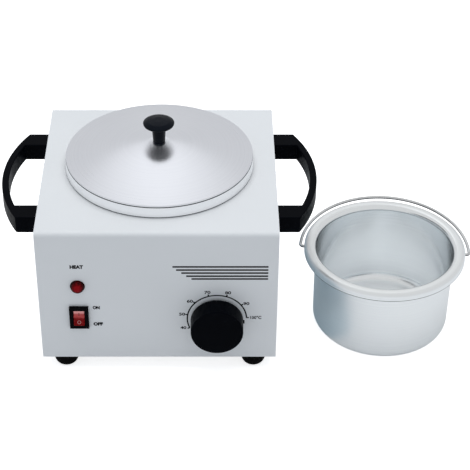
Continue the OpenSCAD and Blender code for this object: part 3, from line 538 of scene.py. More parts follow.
def bucket_aluminium():
    """Spun aluminium: brushed outside, smoother inside, frosted over the middle of its bottom.

    A thin band under the rim is darkened: a painted shadow.
    """
    material = turned_metal("bucket_aluminium", BUCKET_BASE, *BUCKET_ROUGH, BUCKET_STRETCH, BUCKET_RINGS)
    shader = shader_of(material)
    base = shader.inputs["Base Color"]
    coordinates = add_node(material, "ShaderNodeTexCoord")
    height = place_of(material)["Z"]
    flat = add_node(material, "ShaderNodeVectorMath", operation="MULTIPLY")
    link(material, coordinates.outputs["Object"], flat.inputs[0])
    flat.inputs[1].default_value = (1, 1, 0)
    facing = add_node(material, "ShaderNodeVectorMath", operation="DOT_PRODUCT")
    link(material, coordinates.outputs["Normal"], facing.inputs[0])
    link(material, flat.outputs[0], facing.inputs[1])
    inward = spread(material, facing.outputs["Value"], BUCKET_POLISH, 0.0, -POLISH_FULL, 0.0)
    turned = shader.inputs["Roughness"].links[0].from_socket
    link(material, maths(material, "SUBTRACT", turned, inward), shader.inputs["Roughness"])
    across = add_node(material, "ShaderNodeVectorMath", operation="LENGTH")
    link(material, flat.outputs[0], across.inputs[0])
    frost = maths(material, "MULTIPLY", between(material, height, *FROST_HEIGHTS),
                  spread(material, across.outputs["Value"], BUCKET_FROST, 0.0, *FROST_FADE))
    link(material, maths(material, "SUBTRACT", 1.0, frost), shader.inputs["Metallic"])
    rim_low = bucket_high.z - bucket_low.z - RIM_DROP
    # painted shadow under the rim
    rim_shadow = maths(material, "MULTIPLY", between(material, height, rim_low - RIM_SHADOW_BELOW, rim_low + RIM_SHADOW_ABOVE),
                 maths(material, "GREATER_THAN", across.outputs["Value"], BUCKET_BODY + RIM_SHADOW_OUT))
    link(material, laid_over(material, rim_shadow, base.links[0].from_socket, RIM_SHADOW_BASE), base)
    return material


def drawn_metal(name, colour, low, high, scale=300):
    """Plated or drawn metal with faint streaks."""
    material = new_material(name, metallic=1.0)
    streaks = noise(material, scale, 4)
    tinted(material, streaks, colour, METAL_CHANGE)
    rough(material, noise(material, scale * 2, 4), low, high)
    add_bump(material, noise(material, scale * 5, 2), STREAK_DEPTH, STREAK_STRENGTH)
    return material


def base_zinc():
    """Galvanised sheet, with its spangle."""
    material = new_material("base_zinc", metallic=1.0)
    cells = add_node(material, "ShaderNodeTexVoronoi")
    cells.inputs["Scale"].default_value = ZINC_SPANGLE
    link(material, object_place(material), cells.inputs["Vector"])
    grey = add_node(material, "ShaderNodeRGBToBW")
    link(material, cells.outputs["Color"], grey.inputs[0])
    tinted(material, grey.outputs[0], ZINC_BASE, ZINC_CHANGE)
    rough(material, grey.outputs[0], *ZINC_ROUGH)
    return material


def plastic(name, colour, low, high, grain=1100, depth=0.015, change=0.12, specular=0.5):
    """Moulded plastic: a fine grain and an uneven gloss."""
    material = new_material(name)
    shader_of(material).inputs["Specular IOR Level"].default_value = specular
    tinted(material, noise(material, PLASTIC_CLOUD, 4), colour, change)
    rough(material, noise(material, PLASTIC_SHEEN, 5), low, high)
    add_bump(material, noise(material, grain, 3), depth * MM, GRAIN_STRENGTH)
    return material


def mineral_wool():
    """Fibrous insulation."""
    material = new_material("mineral_wool", roughness=WOOL_ROUGH)
    fibres = noise(material, WOOL_FIBRES, 8)
    tinted(material, fibres, WOOL_BASE, WOOL_CHANGE)
    add_bump(material, fibres, WOOL_DEPTH)
    return material


def red_rocker():
    """Red translucent rocker with painted light: darker at its lower end, paler at its upper half, faintly
    glowing.
    """
    material = new_material("red_rocker", roughness=ROCKER_ROUGH)
    shader = shader_of(material)
    shader.inputs["Specular IOR Level"].default_value = RED_SPECULAR
    height = place_of(material)["Z"]
    # painted shade towards the lower end
    red = spread(material, height, RAMP_START, RAMP_END, *ROCKER_SHADE_FADE)
    cloud = spread(material, noise(material, ROCKER_CLOUD, 2), -ROCKER_UNEVEN, ROCKER_UNEVEN)
    body = blend_colours(material, maths(material, "ADD", red, cloud), ROCKER_SHADED_RED, ROCKER_RED)
    # painted light over the upper half
    pale = spread(material, height, 0.0, 1.0, *ROCKER_LIT_FADE)
    colour = laid_over(material, pale, body, ROCKER_LIT_PALE)
    link(material, colour, shader.inputs["Base Color"])
    # painted glow
    link(material, colour, shader.inputs["Emission Color"])
    shader.inputs["Emission Strength"].default_value = ROCKER_PAINTED_GLOW
    add_bump(material, noise(material, ROCKER_GRAIN, 3), ROCKER_GRAIN_DEPTH, ROCKER_GRAIN_STRENGTH)
    return material


def red_lens():
    """Dark red lens with small facets on its inside, with painted light: brighter at its middle, shaded at its
    rim.
    """
    material = new_material("red_lens", roughness=LENS_ROUGH)
    shader = shader_of(material)
    shader.inputs["Specular IOR Level"].default_value = RED_SPECULAR
    place = place_of(material)
    # painted light at the middle, painted shade towards the rim
    across = distance(material, place["X"], maths(material, "SUBTRACT", place["Y"], LENS_LIGHT_UP))
    glow = spread(material, across, *LENS_PAINTED_LIGHT, *LENS_LIGHT_FADE)
    facets = add_node(material, "ShaderNodeTexVoronoi", feature="F1")
    facets.inputs["Scale"].default_value = LENS_FACETS
    link(material, object_place(material), facets.inputs["Vector"])
    # painted light and shade on the facets
    shade = spread(material, facets.outputs["Distance"], -FACET_SHADE, FACET_SHADE, 0.0, FACET_REACH)
    colour = blend_colours(material, maths(material, "ADD", glow, shade), LENS_SHADED_RED, LENS_RED)
    link(material, colour, shader.inputs["Base Color"])
    add_bump(material, facets.outputs["Distance"], FACET_DEPTH, FACET_STRENGTH)
    return material


def amber_glass():
    material = new_material("amber_glass", roughness=AMBER_ROUGH)
    shader_of(material).inputs["Transmission Weight"].default_value = AMBER_CLEAR
    tinted(material, noise(material, AMBER_CLOUD), AMBER_BASE, AMBER_CHANGE)
    return material


def bail_steel():
    """Bright drawn wire, with painted shade and a painted dark reflection along its underside."""
    material = new_material("bail_steel", metallic=1.0)
    under = add_node(material, "ShaderNodeVectorMath", operation="DOT_PRODUCT")
    link(material, object_place(material), under.inputs[0])
    up = Vector((0, 0, 1))
    back = up.cross(bail_axis)
    under.inputs[1].default_value = up * math.cos(BAIL_TILT) - back * math.sin(BAIL_TILT)
    streaks = spread(material, noise(material, BAIL_STREAKS, 4), -BAIL_UNEVEN, BAIL_UNEVEN)
    # painted shade on the underside
    bright = spread(material, under.outputs["Value"], RAMP_START, RAMP_END, *BAIL_SHADE_FADE)
    shade = maths(material, "ADD", bright, streaks)
    colour = blend_colours(material, shade, BAIL_PAINTED_SHADE, BAIL_BRIGHT)
    link(material, colour, shader_of(material).inputs["Base Color"])
    rough(material, noise(material, BAIL_SHEEN, 4), *BAIL_ROUGH)
    return material


MATERIALS = {
    "white_paint": white_paint,
    "base_zinc": base_zinc,
    "screw_steel": lambda: drawn_metal("screw_steel", (0.66, 0.66, 0.67), 0.25, 0.38),
    "foot_rubber": lambda: plastic("foot_rubber", (0.003, 0.003, 0.003), 0.55, 0.7, grain=1500, depth=0.03,
                                   specular=0.04),
    "black_plastic": lambda: plastic("black_plastic", (0.0015, 0.002, 0.0035), 0.3, 0.4, specular=0.02),
    "well_aluminium": lambda: turned_metal("well_aluminium", (0.74, 0.75, 0.77), 0.34, 0.46, 0.3, 900),
    "brass_band": lambda: drawn_metal("brass_band", (0.70, 0.56, 0.30), 0.28, 0.4),
    "mineral_wool": mineral_wool,
    "grey_plastic": lambda: plastic("grey_plastic", (0.2, 0.2, 0.21), 0.4, 0.5),
    "copper_brass": lambda: drawn_metal("copper_brass", (0.72, 0.42, 0.28), 0.25, 0.4),
    "gloss_black": lambda: plastic("gloss_black", (0.002, 0.002, 0.003), 0.2, 0.28, specular=0.03),
    "red_rocker": red_rocker,
    "red_lens": red_lens,
    "amber_glass": amber_glass,
    "white_plastic": lambda: plastic("white_plastic", (0.82, 0.81, 0.77), 0.35, 0.45, change=0.03),
    "wire_cover": lambda: plastic("wire_cover", (0.55, 0.05, 0.05), 0.35, 0.45),
    "lid_aluminium": lid_aluminium,
    "bucket_aluminium": bucket_aluminium,
    "bail_steel": bail_steel,
}

made_materials = {slot: make() for slot, make in MATERIALS.items()}
knob_black = plastic("knob_black", (0.0025, 0.0045, 0.009), 0.22, 0.3, specular=0.09)
ink = plastic("print_ink", (0.004, 0.004, 0.006), 0.45, 0.55, specular=0.08)
mark_ink = plastic("mark_ink", (0.45, 0.2, 0.19), 0.4, 0.5, change=0.03)
deep_red = plastic("deep_red", (0.22, 0.02, 0.02), 0.4, 0.5, change=0.03)


def wear(made, material):
    made.data.materials.clear()
    made.data.materials.append(material)


def fit_out(made, slot, body, *replaced):
    """Gives a piece its finish and its body, and hides the CAD nodes that it stands for."""
    wear(made, made_materials[slot])
    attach(made, body)
    if replaced:
        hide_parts(*replaced)


for part in frame["record"]["subparts"]:
    wear(nodes[part["node"]], made_materials[part["material_slot"]])


# Housing

SHEET_EDGE = 0.3 * MM
SHEET_SHORTEST = 25 * MM
GRIP_EDGE = 0.9 * MM


def make_housing():
    cover = softened("housing_cover", "housing_wrap", SHEET_EDGE, SHEET_SHORTEST)
    fit_out(cover, "white_paint", "housing", "housing_wrap")
    for side in ("left", "right"):
        node = "side_panel_" + side
        panel_side = softened("housing_side_" + side, node, SHEET_EDGE, SHEET_SHORTEST)
        fit_out(panel_side, "white_paint", "housing", node)


def make_handles():
    for side in ("left", "right"):
        node = "handle_" + side
        fit_out(softened("grip_" + side, node, GRIP_EDGE), "black_plastic", "housing", node)


# Lid

LID_SHEET = 1.0 * MM
LID_LEAN = 0.5 * MM
LID_FLAT = 8 * MM
LID_FLAT_ROUND = 12 * MM
CREASE_DEEP = 0.45 * MM
CREASE_FOOT = 1.7 * MM
CREASE_LOW = 1.5 * MM
CREASE_HIGH = 1.1 * MM


def make_lid():
    foot = (lid_high.x - lid_low.x) / 2
    edge = foot - LID_LEAN
    low = lid_low.z
    shoulder = low + LID_SKIRT
    apex = lid_high.z
    profile = rounded([
        (foot - LID_SHEET, low, 0.3 * MM),
        (foot, low, 0.3 * MM),
        (edge + 0.1 * MM, shoulder - CREASE_FOOT, 0.2 * MM),
        (edge - CREASE_DEEP, shoulder - CREASE_LOW, 0.15 * MM),
        (edge - CREASE_DEEP, shoulder - CREASE_HIGH, 0.15 * MM),
        (edge, shoulder - CREASE_TOP, 0.2 * MM),
        (edge, shoulder, 0.6 * MM),
        (LID_FLAT, apex, LID_FLAT_ROUND),
        (0, apex),
        (0, apex - LID_SHEET),
        (LID_FLAT, apex - LID_SHEET),
        (edge - LID_SHEET - 0.2 * MM, shoulder - LID_SHEET, 1 * MM),
    ])
    made = lathe("lid_cone", [(r, z - low) for r, z in profile], (lid.x, lid.y, low), steps=192, closed=True)
    fit_out(made, "lid_aluminium", "lid", "lid_shell")


# The stem's radii, and how far below the top the stem ends and the cap's outline turns
STEM_FOOT = 4.8 * MM
STEM_HEAD = 5.6 * MM
STEM_DROP = 6.0 * MM
CAP_UNDER_DROP = 4.5 * MM
CAP_EDGE_DROP = 2.7 * MM
CAP_CROWN_DROP = 0.9 * MM
CAP_CROWN_SHARE = 0.72
CAP_TOP_SHARE = 0.3


def make_lid_knob():
    low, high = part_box("lid_knob")
    cap = (high.x - low.x) / 2
    height = high.z - low.z
    profile = rounded([
        (0, 0),
        (STEM_FOOT, 0, 0.3 * MM),
        (STEM_HEAD, height - STEM_DROP, 0.8 * MM),
        (cap - 0.6 * MM, height - CAP_UNDER_DROP, 0.9 * MM),
        (cap, height - CAP_EDGE_DROP, 0.9 * MM),
        (cap * CAP_CROWN_SHARE, height - CAP_CROWN_DROP, 7 * MM),
        (cap * CAP_TOP_SHARE, height, 5 * MM),
        (0, height),
    ])
    made = lathe("lid_grip", profile, (lid.x, lid.y, low.z))
    fit_out(made, "black_plastic", "lid", "lid_knob")
    wear(made, knob_black)


# Controls

KNOB_WALL = 2.5 * MM
KNOB_TAPER = 0.3 * MM
HUB_RADIUS = 6 * MM
HUB_BORE = 3.2 * MM
NUB_LENGTH = 2.5 * MM
NUB_WIDTH = 2 * MM
NUB_ROOT = 0.6 * MM


def make_control_knob():
    low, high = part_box("control_knob")
    radius = (high.z - low.z) / 2
    length = high.y - low.y
    foot = (dial.x, high.y, dial.z)
    profile = rounded([
        (radius - KNOB_WALL, 0, 0.3 * MM),
        (radius, 0, 0.4 * MM),
        (radius - KNOB_TAPER, length, 0.8 * MM),
        (0, length),
        (0, length - KNOB_WALL),
        (radius - KNOB_WALL, length - KNOB_WALL, 1 * MM),
    ])
    body = lathe("dial_knob", profile, foot, steps=144, closed=True, axis="-Y")
    fit_out(body, "black_plastic", "knob", "control_knob")
    profile = rounded([
        (HUB_RADIUS, 0, 0.3 * MM),
        (HUB_RADIUS, length - KNOB_WALL),
        (HUB_BORE, length - KNOB_WALL),
        (HUB_BORE, 0),
    ])
    hub = lathe("dial_hub", profile, foot, steps=48, closed=True, axis="-Y")
    fit_out(hub, "black_plastic", "knob")
    nub = block("dial_nub", (dial.x + radius - NUB_ROOT, high.y - NUB_LENGTH, dial.z - NUB_WIDTH / 2),
                (high.x, high.y, dial.z + NUB_WIDTH / 2), 0.3 * MM)
    fit_out(nub, "black_plastic", "knob")


SWITCH_EDGE = 0.35 * MM
BEZEL_THICK = 2.5 * MM
ROCKER_SINK = 0.6 * MM
ROCKER_ANGLE = math.radians(24)
MARK_PROUD = 0.05 * MM
MARK_OUT = 3.5 * MM
MARK_HALF_WIDTH = 0.35 * MM
MARK_HALF_HEIGHT = 1.5 * MM
MARK_EDGE = 0.03 * MM
RING_INNER = 1.0 * MM
RING_OUTER = 1.5 * MM


def make_switch():
    fit_out(softened("switch_bezel", "switch_body", SWITCH_EDGE), "gloss_black", "housing", "switch_body")
    made = softened("rocker_cap", "rocker", SWITCH_EDGE)
    ridge = Vector((rocker.x, front_y - BEZEL_THICK + ROCKER_SINK, rocker.z))
    made.data.transform(Matrix.Translation(-ridge))
    made.location = ridge
    fit_out(made, "red_rocker", "rocker", "rocker")
    low = Vector((-MARK_HALF_WIDTH, -MARK_PROUD, MARK_OUT - MARK_HALF_HEIGHT))
    high = Vector((MARK_HALF_WIDTH, MARK_PROUD, MARK_OUT + MARK_HALF_HEIGHT))
    line = block("rocker_mark_on", ridge + low, ridge + high, MARK_EDGE, 1)
    lean = Vector((0, -math.sin(ROCKER_ANGLE), -math.cos(ROCKER_ANGLE)))
    profile = [(RING_INNER, -MARK_PROUD), (RING_OUTER, -MARK_PROUD), (RING_OUTER, MARK_PROUD),
               (RING_INNER, MARK_PROUD)]
    ring = lathe("rocker_mark_off", profile, ridge + lean * MARK_OUT, steps=48, closed=True, axis="-Y")
    ring.rotation_euler = (math.radians(90) - ROCKER_ANGLE, 0, 0)
    for mark, material in ((line, deep_red), (ring, mark_ink)):
        wear(mark, material)
        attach(mark, "rocker")


LENS_BORE = 3.4 * MM
LENS_SHANK = 4.3 * MM
LENS_LIP = 0.7 * MM
LENS_TOP_WALL = 1.2 * MM
LENS_SHOULDER_WALL = 2.2 * MM
DOME_STEPS = 16


def make_lamp():
    radius = (lamp_high.x - lamp_low.x) / 2
    rise = front_y - lamp_low.y
    depth = lamp_high.y - front_y
    ball = (radius * radius + rise * rise) / (2 * rise)
    widest = math.asin((radius - LENS_LIP) / ball)
    dome = []
    for k in range(DOME_STEPS + 1):
        a = widest * (1 - k / DOME_STEPS)
        dome.append((ball * math.sin(a), rise - ball + ball * math.cos(a)))
    skirt = rounded([
        (LENS_BORE, -depth),
        (LENS_SHANK, -depth),
        (LENS_SHANK, 0),
        (radius, 0, 0.1 * MM),
        (radius, 0.5 * MM, 0.25 * MM),
        (radius - LENS_LIP + 0.1 * MM, 0.55 * MM, 0.1 * MM),
    ])
    inner = [(0, rise - LENS_TOP_WALL), (LENS_BORE, rise - LENS_SHOULDER_WALL)]
    place = (lamp.x, front_y, lamp.z)
    made = lathe("lamp_dome", skirt + dome + inner, place, steps=64, closed=True, axis="-Y")
    fit_out(made, "red_lens", "housing", "lamp_lens")


# Print on the front panel, in millimetres from the housing's middle and bottom

PRINT_LIFT = 0.04 * MM

STRIPE_RIGHT = 84.7
STRIPE_THICK = 1.45
STRIPES = [(11.6, 90.0), (14.3, 87.0), (18.3, 84.1), (22.0, 81.1), (26.0, 78.4)]

ARC_RADIUS = 23.1
ARC_START = -113
ARC_END = 87.5
ARC_HALF = 0.55
ARC_STEPS = 72
LETTER_STEPS = 4
TICK_TURNS = [-113, -80, -47.5, -16, 18.5, 54.5, 87.5]
TICK_LENGTH = 1.9
TICK_TAPER = 0.9

FIRST_NUMBER = 40
NUMBER_STEP = 10
NUMBER_RADIUS = 27.6
NUMBER_TURNS = [-108, -79.5, -49.5, -15.5, 18, 55.7]
NUMBER_SIZE = (4.7, 2.9)
NUMBER_DROP = 0.5
LAST_NUMBER_SHIFT = (2.9, -1.3)
LAST_NUMBER_SIZE = (8.7, 3.1)
NUMBER_WEIGHT = 0.03

# Name, words, left and bottom, width and height
LABELS = [
    ("label_heat", "HEAT", (-66.75, 88.2), (10.3, 3.4)),
    ("label_on", "ON", (-50.9, 48.6), (5.5, 3.3)),
    ("label_off", "OFF", (-51.0, 32.2), (7.5, 3.4)),
]
WORD_WEIGHT = 0.065


def panel(x, z, lift=PRINT_LIFT):
    """A point on the front panel, x and z in metres from the housing's middle and bottom."""
    return Vector((housing_x + x, front_y - lift, housing_bottom + z))


def printed(made):
    wear(made, ink)
    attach(made, "housing")


def print_outline(name, outline, front=None):
    """The outline raised from the panel: its front, one face unless others are given, and its walls."""
    count = len(outline)
    points = [panel(x * MM, z * MM, lift) for lift in (PRINT_LIFT, 0) for x, z in outline]
    faces = list(front or [tuple(range(count))])
    for k in range(count):
        n = (k + 1) % count
        faces.append((k, n, count + n, count + k))
    printed(mesh_object(name, points, faces))


def print_words(name, words, place, size, weight):
    """Words that fill a box on the front panel."""
    curve = bpy.data.curves.new(name, "FONT")
    curve.body = words
    curve.resolution_u = LETTER_STEPS
    curve.offset = weight
    made = add_object(name + "_curve", curve)
    graph = bpy.context.evaluated_depsgraph_get()
    mesh = bpy.data.meshes.new_from_object(made.evaluated_get(graph))
    bpy.data.objects.remove(made)
    left, bottom = (value * MM for value in place)
    width, height = (value * MM for value in size)
    xs = [v.co.x for v in mesh.vertices]
    ys = [v.co.y for v in mesh.vertices]
    for v in mesh.vertices:
        x = left + width * (v.co.x - min(xs)) / (max(xs) - min(xs))
        z = bottom + height * (v.co.y - min(ys)) / (max(ys) - min(ys))
        v.co = panel(x, z)
    made = add_object(name, mesh)
    solid = made.modifiers.new("thickness", "SOLIDIFY")
    solid.thickness = PRINT_LIFT
    solid.offset = 0
    printed(made)


def dial_point(radius, turn):
    """A point about the dial's centre, its turn counted clockwise from the top."""
    a = math.radians(turn)
    centre_x = (dial.x - housing_x) / MM
    centre_z = (dial.z - housing_bottom) / MM
    return (centre_x + radius * math.sin(a), centre_z + radius * math.cos(a))


def print_stripes():
    for i, (left, height) in enumerate(STRIPES):
        low, high = height - STRIPE_THICK / 2, height + STRIPE_THICK / 2
        outline = [(left, low), (STRIPE_RIGHT, low), (STRIPE_RIGHT, high), (left, high)]
        print_outline(f"stripe_{i + 1}", outline)


def print_scale():
    turns = [ARC_START + (ARC_END - ARC_START) * k / ARC_STEPS for k in range(ARC_STEPS + 1)]
    arc = [dial_point(ARC_RADIUS + ARC_HALF, t) for t in turns]
    arc += [dial_point(ARC_RADIUS - ARC_HALF, t) for t in turns[::-1]]
    last = len(arc) - 1
    print_outline("dial_arc", arc, [(k, k + 1, last - 1 - k, last - k) for k in range(ARC_STEPS)])
    foot = math.degrees(ARC_HALF / ARC_RADIUS)
    head = foot * TICK_TAPER
    for i, turn in enumerate(TICK_TURNS):
        outline = [dial_point(ARC_RADIUS, turn - foot), dial_point(ARC_RADIUS + TICK_LENGTH, turn - head),
                   dial_point(ARC_RADIUS + TICK_LENGTH, turn + head), dial_point(ARC_RADIUS, turn + foot)]
        print_outline(f"dial_tick_{i + 1}", outline)


def print_numbers():
    wide, tall = NUMBER_SIZE
    for i, turn in enumerate(NUMBER_TURNS):
        x, z = dial_point(NUMBER_RADIUS, turn)
        print_words(f"dial_number_{i + 1}", str(FIRST_NUMBER + NUMBER_STEP * i),
                    (x - wide / 2, z - NUMBER_DROP - tall / 2), NUMBER_SIZE, NUMBER_WEIGHT)
    x, z = dial_point(ARC_RADIUS, ARC_END)
    right, up = LAST_NUMBER_SHIFT
    print_words(f"dial_number_{len(NUMBER_TURNS) + 1}", "100°C", (x + right, z + up), LAST_NUMBER_SIZE,
                NUMBER_WEIGHT)


def make_print():
    print_stripes()
    print_scale()
    print_numbers()
    for name, words, place, size in LABELS:
        print_words(name, words, place, size, WORD_WEIGHT)


# Bucket and bail

BUCKET_WALL = 1.2 * MM
BUCKET_FLARE = 0.9 * MM
BUCKET_CORNER = 9 * MM
RIM_ROUND = 3.2 * MM
LIP = 4.5 * MM
WIRE = 1.25 * MM
WIRE_BEND = 2.6 * MM
WIRE_IN = 3 * MM
BEND_STEPS = 8
BOW_STEPS = 96
BAIL_GAP = 1.9 * MM
HOLE_GAP = 0.25 * MM
HOLE_REACH = 3 * MM


def make_bucket():
    rim = (bucket_high.x - bucket_low.x) / 2
    height = bucket_high.z - bucket_low.z
    inner = BUCKET_BODY - BUCKET_WALL
    outline = rounded([
        (0, 0),
        (BUCKET_BODY, 0, BUCKET_CORNER),
        (BUCKET_BODY + BUCKET_FLARE, height - BUCKET_WALL, LIP - BUCKET_WALL),
        (rim - BUCKET_WALL, height - BUCKET_WALL, RIM_ROUND - BUCKET_WALL),
        (rim - BUCKET_WALL, height - RIM_DROP, 0.2 * MM),
        (rim, height - RIM_DROP, 0.5 * MM),
        (rim, height, RIM_ROUND),
        (inner + BUCKET_FLARE, height, LIP),
        (inner, BUCKET_WALL, BUCKET_CORNER - BUCKET_WALL),
        (0, BUCKET_WALL),
    ], steps=10)
    made = lathe("wax_bucket", outline, (bucket.x, bucket.y, bucket_low.z), steps=192)
    cutters = []
    for side in (-1, 1):
        start = bail_pivot + bail_axis * side * (rim - HOLE_REACH)
        end = bail_pivot + bail_axis * side * (rim + HOLE_REACH)
        cutters.append(sweep("hole_cutter", [start, end], WIRE + HOLE_GAP, 32))
    drilled(made, cutters)
    fit_out(made, "bucket_aluminium", "bucket", "bucket")


def make_bail():
    """A bow of wire round the back of the rim, whose ends bend inwards through the two holes."""
    axis = bail_axis.normalized()
    up = Vector((0, 0, 1))
    lie = up.cross(axis) * math.cos(BAIL_TILT) + up * math.sin(BAIL_TILT)
    rim = (bucket_high.x - bucket_low.x) / 2
    radius = rim + BAIL_GAP + WIRE
    corner = axis * (radius - WIRE_BEND) + lie * WIRE_BEND
    right = [axis * (rim - BUCKET_WALL - WIRE_IN)]
    for k in range(BEND_STEPS + 1):
        a = math.pi / 2 * k / BEND_STEPS
        right.append(corner + axis * WIRE_BEND * math.sin(a) - lie * WIRE_BEND * math.cos(a))
    bend = WIRE_BEND / radius
    for k in range(1, BOW_STEPS + 1):
        a = bend + (math.pi / 2 - bend) * k / BOW_STEPS
        right.append(axis * radius * math.cos(a) + lie * radius * math.sin(a))
    left = [p - axis * 2 * p.dot(axis) for p in right[:-1]][::-1]
    made = sweep("wire_bail", right + left, WIRE)
    made.location = bail_pivot
    fit_out(made, "bail_steel", "bail", "bail")


make_housing()
make_handles()
make_lid()
make_lid_knob()
make_control_knob()
make_switch()
make_lamp()
make_print()
make_bucket()
make_bail()


# Stage, light and camera

def shows_white(tree):
    """1 for the rays that show the background: camera, glossy and transmission rays."""
    path = tree.nodes.new("ShaderNodeLightPath")
    total = None
    for ray in ("Is Camera Ray", "Is Glossy Ray", "Is Transmission Ray"):
        if total is None:
            total = path.outputs[ray]
            continue
        node = tree.nodes.new("ShaderNodeMath")
        node.operation = "MAXIMUM"
        tree.links.new(total, node.inputs[0])
        tree.links.new(path.outputs[ray], node.inputs[1])
        total = node.outputs[0]
    return total


def glossy_level(tree, other, glossy):
    """One value for glossy rays and another for all others."""
    path = tree.nodes.new("ShaderNodeLightPath")
    level = tree.nodes.new("ShaderNodeMapRange")
    level.inputs["To Min"].default_value = other
    level.inputs["To Max"].default_value = glossy
    tree.links.new(path.outputs["Is Glossy Ray"], level.inputs["Value"])
    return level.outputs["Result"]


TOP_PLACE = (0.0, 0.1, 1.7)
TOP_TARGET = (-0.03, 0, 0.1)
TOP_SIZE = 1.5
TOP_POWER = 14
TOP_COLOUR = (1.0, 0.985, 0.965)
SHINE_PLACE = (-0.12, 1.2, 1.7)
SHINE_TARGET = (-0.06, 0, 0.1)
SHINE_SIZE = 1.0
SHINE_POWER = 1.25
WORLD_LIGHT = 0.5
WORLD_COLOUR = (0.95, 1.0, 1.06, 1)
FLOOR_HALF = 8
FLOOR_COLOUR = (0.88, 0.88, 0.88, 1)
FLOOR_GLOW = 0.75
GLOSSY_GLOW = 0.03
GLOSSY_SKY = 0.68


def make_world():
    world = bpy.data.worlds.new("studio")
    world.use_nodes = True
    bpy.context.scene.world = world
    tree = world.node_tree
    light = tree.nodes["Background"]
    light.inputs["Strength"].default_value = WORLD_LIGHT
    light.inputs["Color"].default_value = WORLD_COLOUR
    white = tree.nodes.new("ShaderNodeBackground")
    white.inputs["Color"].default_value = (1, 1, 1, 1)
    tree.links.new(glossy_level(tree, 1.0, GLOSSY_SKY), white.inputs["Strength"])
    mix = tree.nodes.new("ShaderNodeMixShader")
    tree.links.new(shows_white(tree), mix.inputs[0])
    tree.links.new(light.outputs[0], mix.inputs[1])
    tree.links.new(white.outputs[0], mix.inputs[2])
    tree.links.new(mix.outputs[0], tree.nodes["World Output"].inputs["Surface"])


def make_floor():
    """A pale floor that takes the shadow, and is clear from below so that the base can be seen."""
    corners = [(x * FLOOR_HALF, y * FLOOR_HALF, 0) for x, y in ((-1, -1), (1, -1), (1, 1), (-1, 1))]
    floor = mesh_object("floor", corners, [(0, 1, 2, 3)])
    material = bpy.data.materials.new("floor")
    material.use_nodes = True
    tree = material.node_tree
    tree.nodes.remove(tree.nodes["Principled BSDF"])
    paint = tree.nodes.new("ShaderNodeBsdfDiffuse")
    paint.inputs["Color"].default_value = FLOOR_COLOUR
    white = tree.nodes.new("ShaderNodeMath")
    white.operation = "MULTIPLY"
    tree.links.new(shows_white(tree), white.inputs[0])
    tree.links.new(glossy_level(tree, FLOOR_GLOW, GLOSSY_GLOW), white.inputs[1])
    glow = tree.nodes.new("ShaderNodeEmission")
    tree.links.new(white.outputs[0], glow.inputs["Strength"])
    lit = tree.nodes.new("ShaderNodeAddShader")
    tree.links.new(paint.outputs[0], lit.inputs[0])
    tree.links.new(glow.outputs[0], lit.inputs[1])
    clear = tree.nodes.new("ShaderNodeBsdfTransparent")
    below = tree.nodes.new("ShaderNodeNewGeometry")
    sided = tree.nodes.new("ShaderNodeMixShader")
    tree.links.new(below.outputs["Backfacing"], sided.inputs[0])
    tree.links.new(lit.outputs[0], sided.inputs[1])
    tree.links.new(clear.outputs[0], sided.inputs[2])
    tree.links.new(sided.outputs[0], tree.nodes["Material Output"].inputs["Surface"])
    wear(floor, material)


def area_light(name, place, target, size, power):
    lamp_data = bpy.data.lights.new(name, "AREA")
    lamp_data.shape = "SQUARE"
    lamp_data.size = size
    lamp_data.energy = power
    made = bpy.data.objects.new(name, lamp_data)
    made.location = place
    made.rotation_euler = (Vector(target) - Vector(place)).to_track_quat("-Z", "Y").to_euler()
    bpy.context.scene.collection.objects.link(made)
    return made


def make_lights():
    """A light overhead for matt surfaces, and a faint one high behind for metal and gloss."""
    matt = area_light("top_light", TOP_PLACE, TOP_TARGET, TOP_SIZE, TOP_POWER)
    matt.data.color = TOP_COLOUR
    matt.visible_glossy = False
    shine = area_light("shine_light", SHINE_PLACE, SHINE_TARGET, SHINE_SIZE, SHINE_POWER)
    shine.visible_diffuse = False


BACK_CARD_HALF = 1.0
BACK_CARD_Y = 1.2
BACK_CARD_HIGH = 0.11
BACK_COLOUR = (0.04, 0.07, 0.09, 1)
# Painted shade: dim cards in the gap between housing and bucket, seen in reflections only.
GAP_CARD_OUT = 6 * MM
GAP_CARD_LOW = 2 * MM
GAP_CARD_HIGH = 80 * MM
GAP_FLOOR_IN = 49 * MM
GAP_FLOOR_LIFT = 1 * MM
GAP_SHADE_COLOUR = (0.62, 0.72, 0.77, 1)


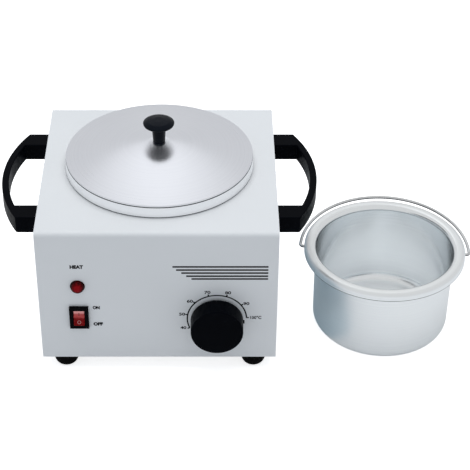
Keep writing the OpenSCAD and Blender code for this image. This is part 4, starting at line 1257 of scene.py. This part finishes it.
def card(name, corners, material):
    """A card that is seen in metal and gloss only."""
    made = mesh_object(name, corners, [(0, 1, 2, 3)])
    wear(made, material)
    made.visible_camera = False
    made.visible_diffuse = False
    made.visible_shadow = False
    made.visible_transmission = False


def card_material(name, colour):
    material = new_material(name, roughness=1.0)
    shader = shader_of(material)
    shader.inputs["Base Color"].default_value = colour
    shader.inputs["Specular IOR Level"].default_value = 0
    return material


def make_cards():
    """A dark card behind the object, and two dim ones as painted shade in the gap between housing and bucket."""
    dark = card_material("dark_card", BACK_COLOUR)
    gap_shade = card_material("gap_shade_card", GAP_SHADE_COLOUR)
    wide, high = BACK_CARD_HALF, BACK_CARD_HIGH
    card("card_back", [(-wide, BACK_CARD_Y, 0), (wide, BACK_CARD_Y, 0), (wide, BACK_CARD_Y, high),
                       (-wide, BACK_CARD_Y, high)], dark)
    side, back = wrap_high.x + GAP_CARD_OUT, wrap_high.y
    # painted shade in the gap: one card by the housing's side, one on the floor
    card("card_gap_shade", [(side, front_y, GAP_CARD_LOW), (side, back, GAP_CARD_LOW), (side, back, GAP_CARD_HIGH),
                      (side, front_y, GAP_CARD_HIGH)], gap_shade)
    end, lift = bucket.x - GAP_FLOOR_IN, GAP_FLOOR_LIFT
    card("card_floor_shade", [(side, front_y, lift), (end, front_y, lift), (end, back, lift),
                        (side, back, lift)], gap_shade)


CAMERA_RIGHT = 38.9 * MM
CAMERA_AWAY = 922 * MM
CAMERA_HIGH = 806.4 * MM
CAMERA_TILT = math.radians(53.86)
CAMERA_LENS = 116.68
CAMERA_SENSOR = 36
CAMERA_SHIFT = 0.0568


def make_camera():
    data = bpy.data.cameras.new("camera")
    data.lens = CAMERA_LENS
    data.sensor_width = CAMERA_SENSOR
    data.shift_x = CAMERA_SHIFT
    made = bpy.data.objects.new("camera", data)
    made.location = (housing_x + CAMERA_RIGHT, front_y - CAMERA_AWAY, CAMERA_HIGH)
    made.rotation_euler = (CAMERA_TILT, 0, 0)
    bpy.context.scene.collection.objects.link(made)
    bpy.context.scene.camera = made


make_world()
make_floor()
make_lights()
make_cards()
make_camera()
bpy.context.scene.view_settings.view_transform = "Standard"
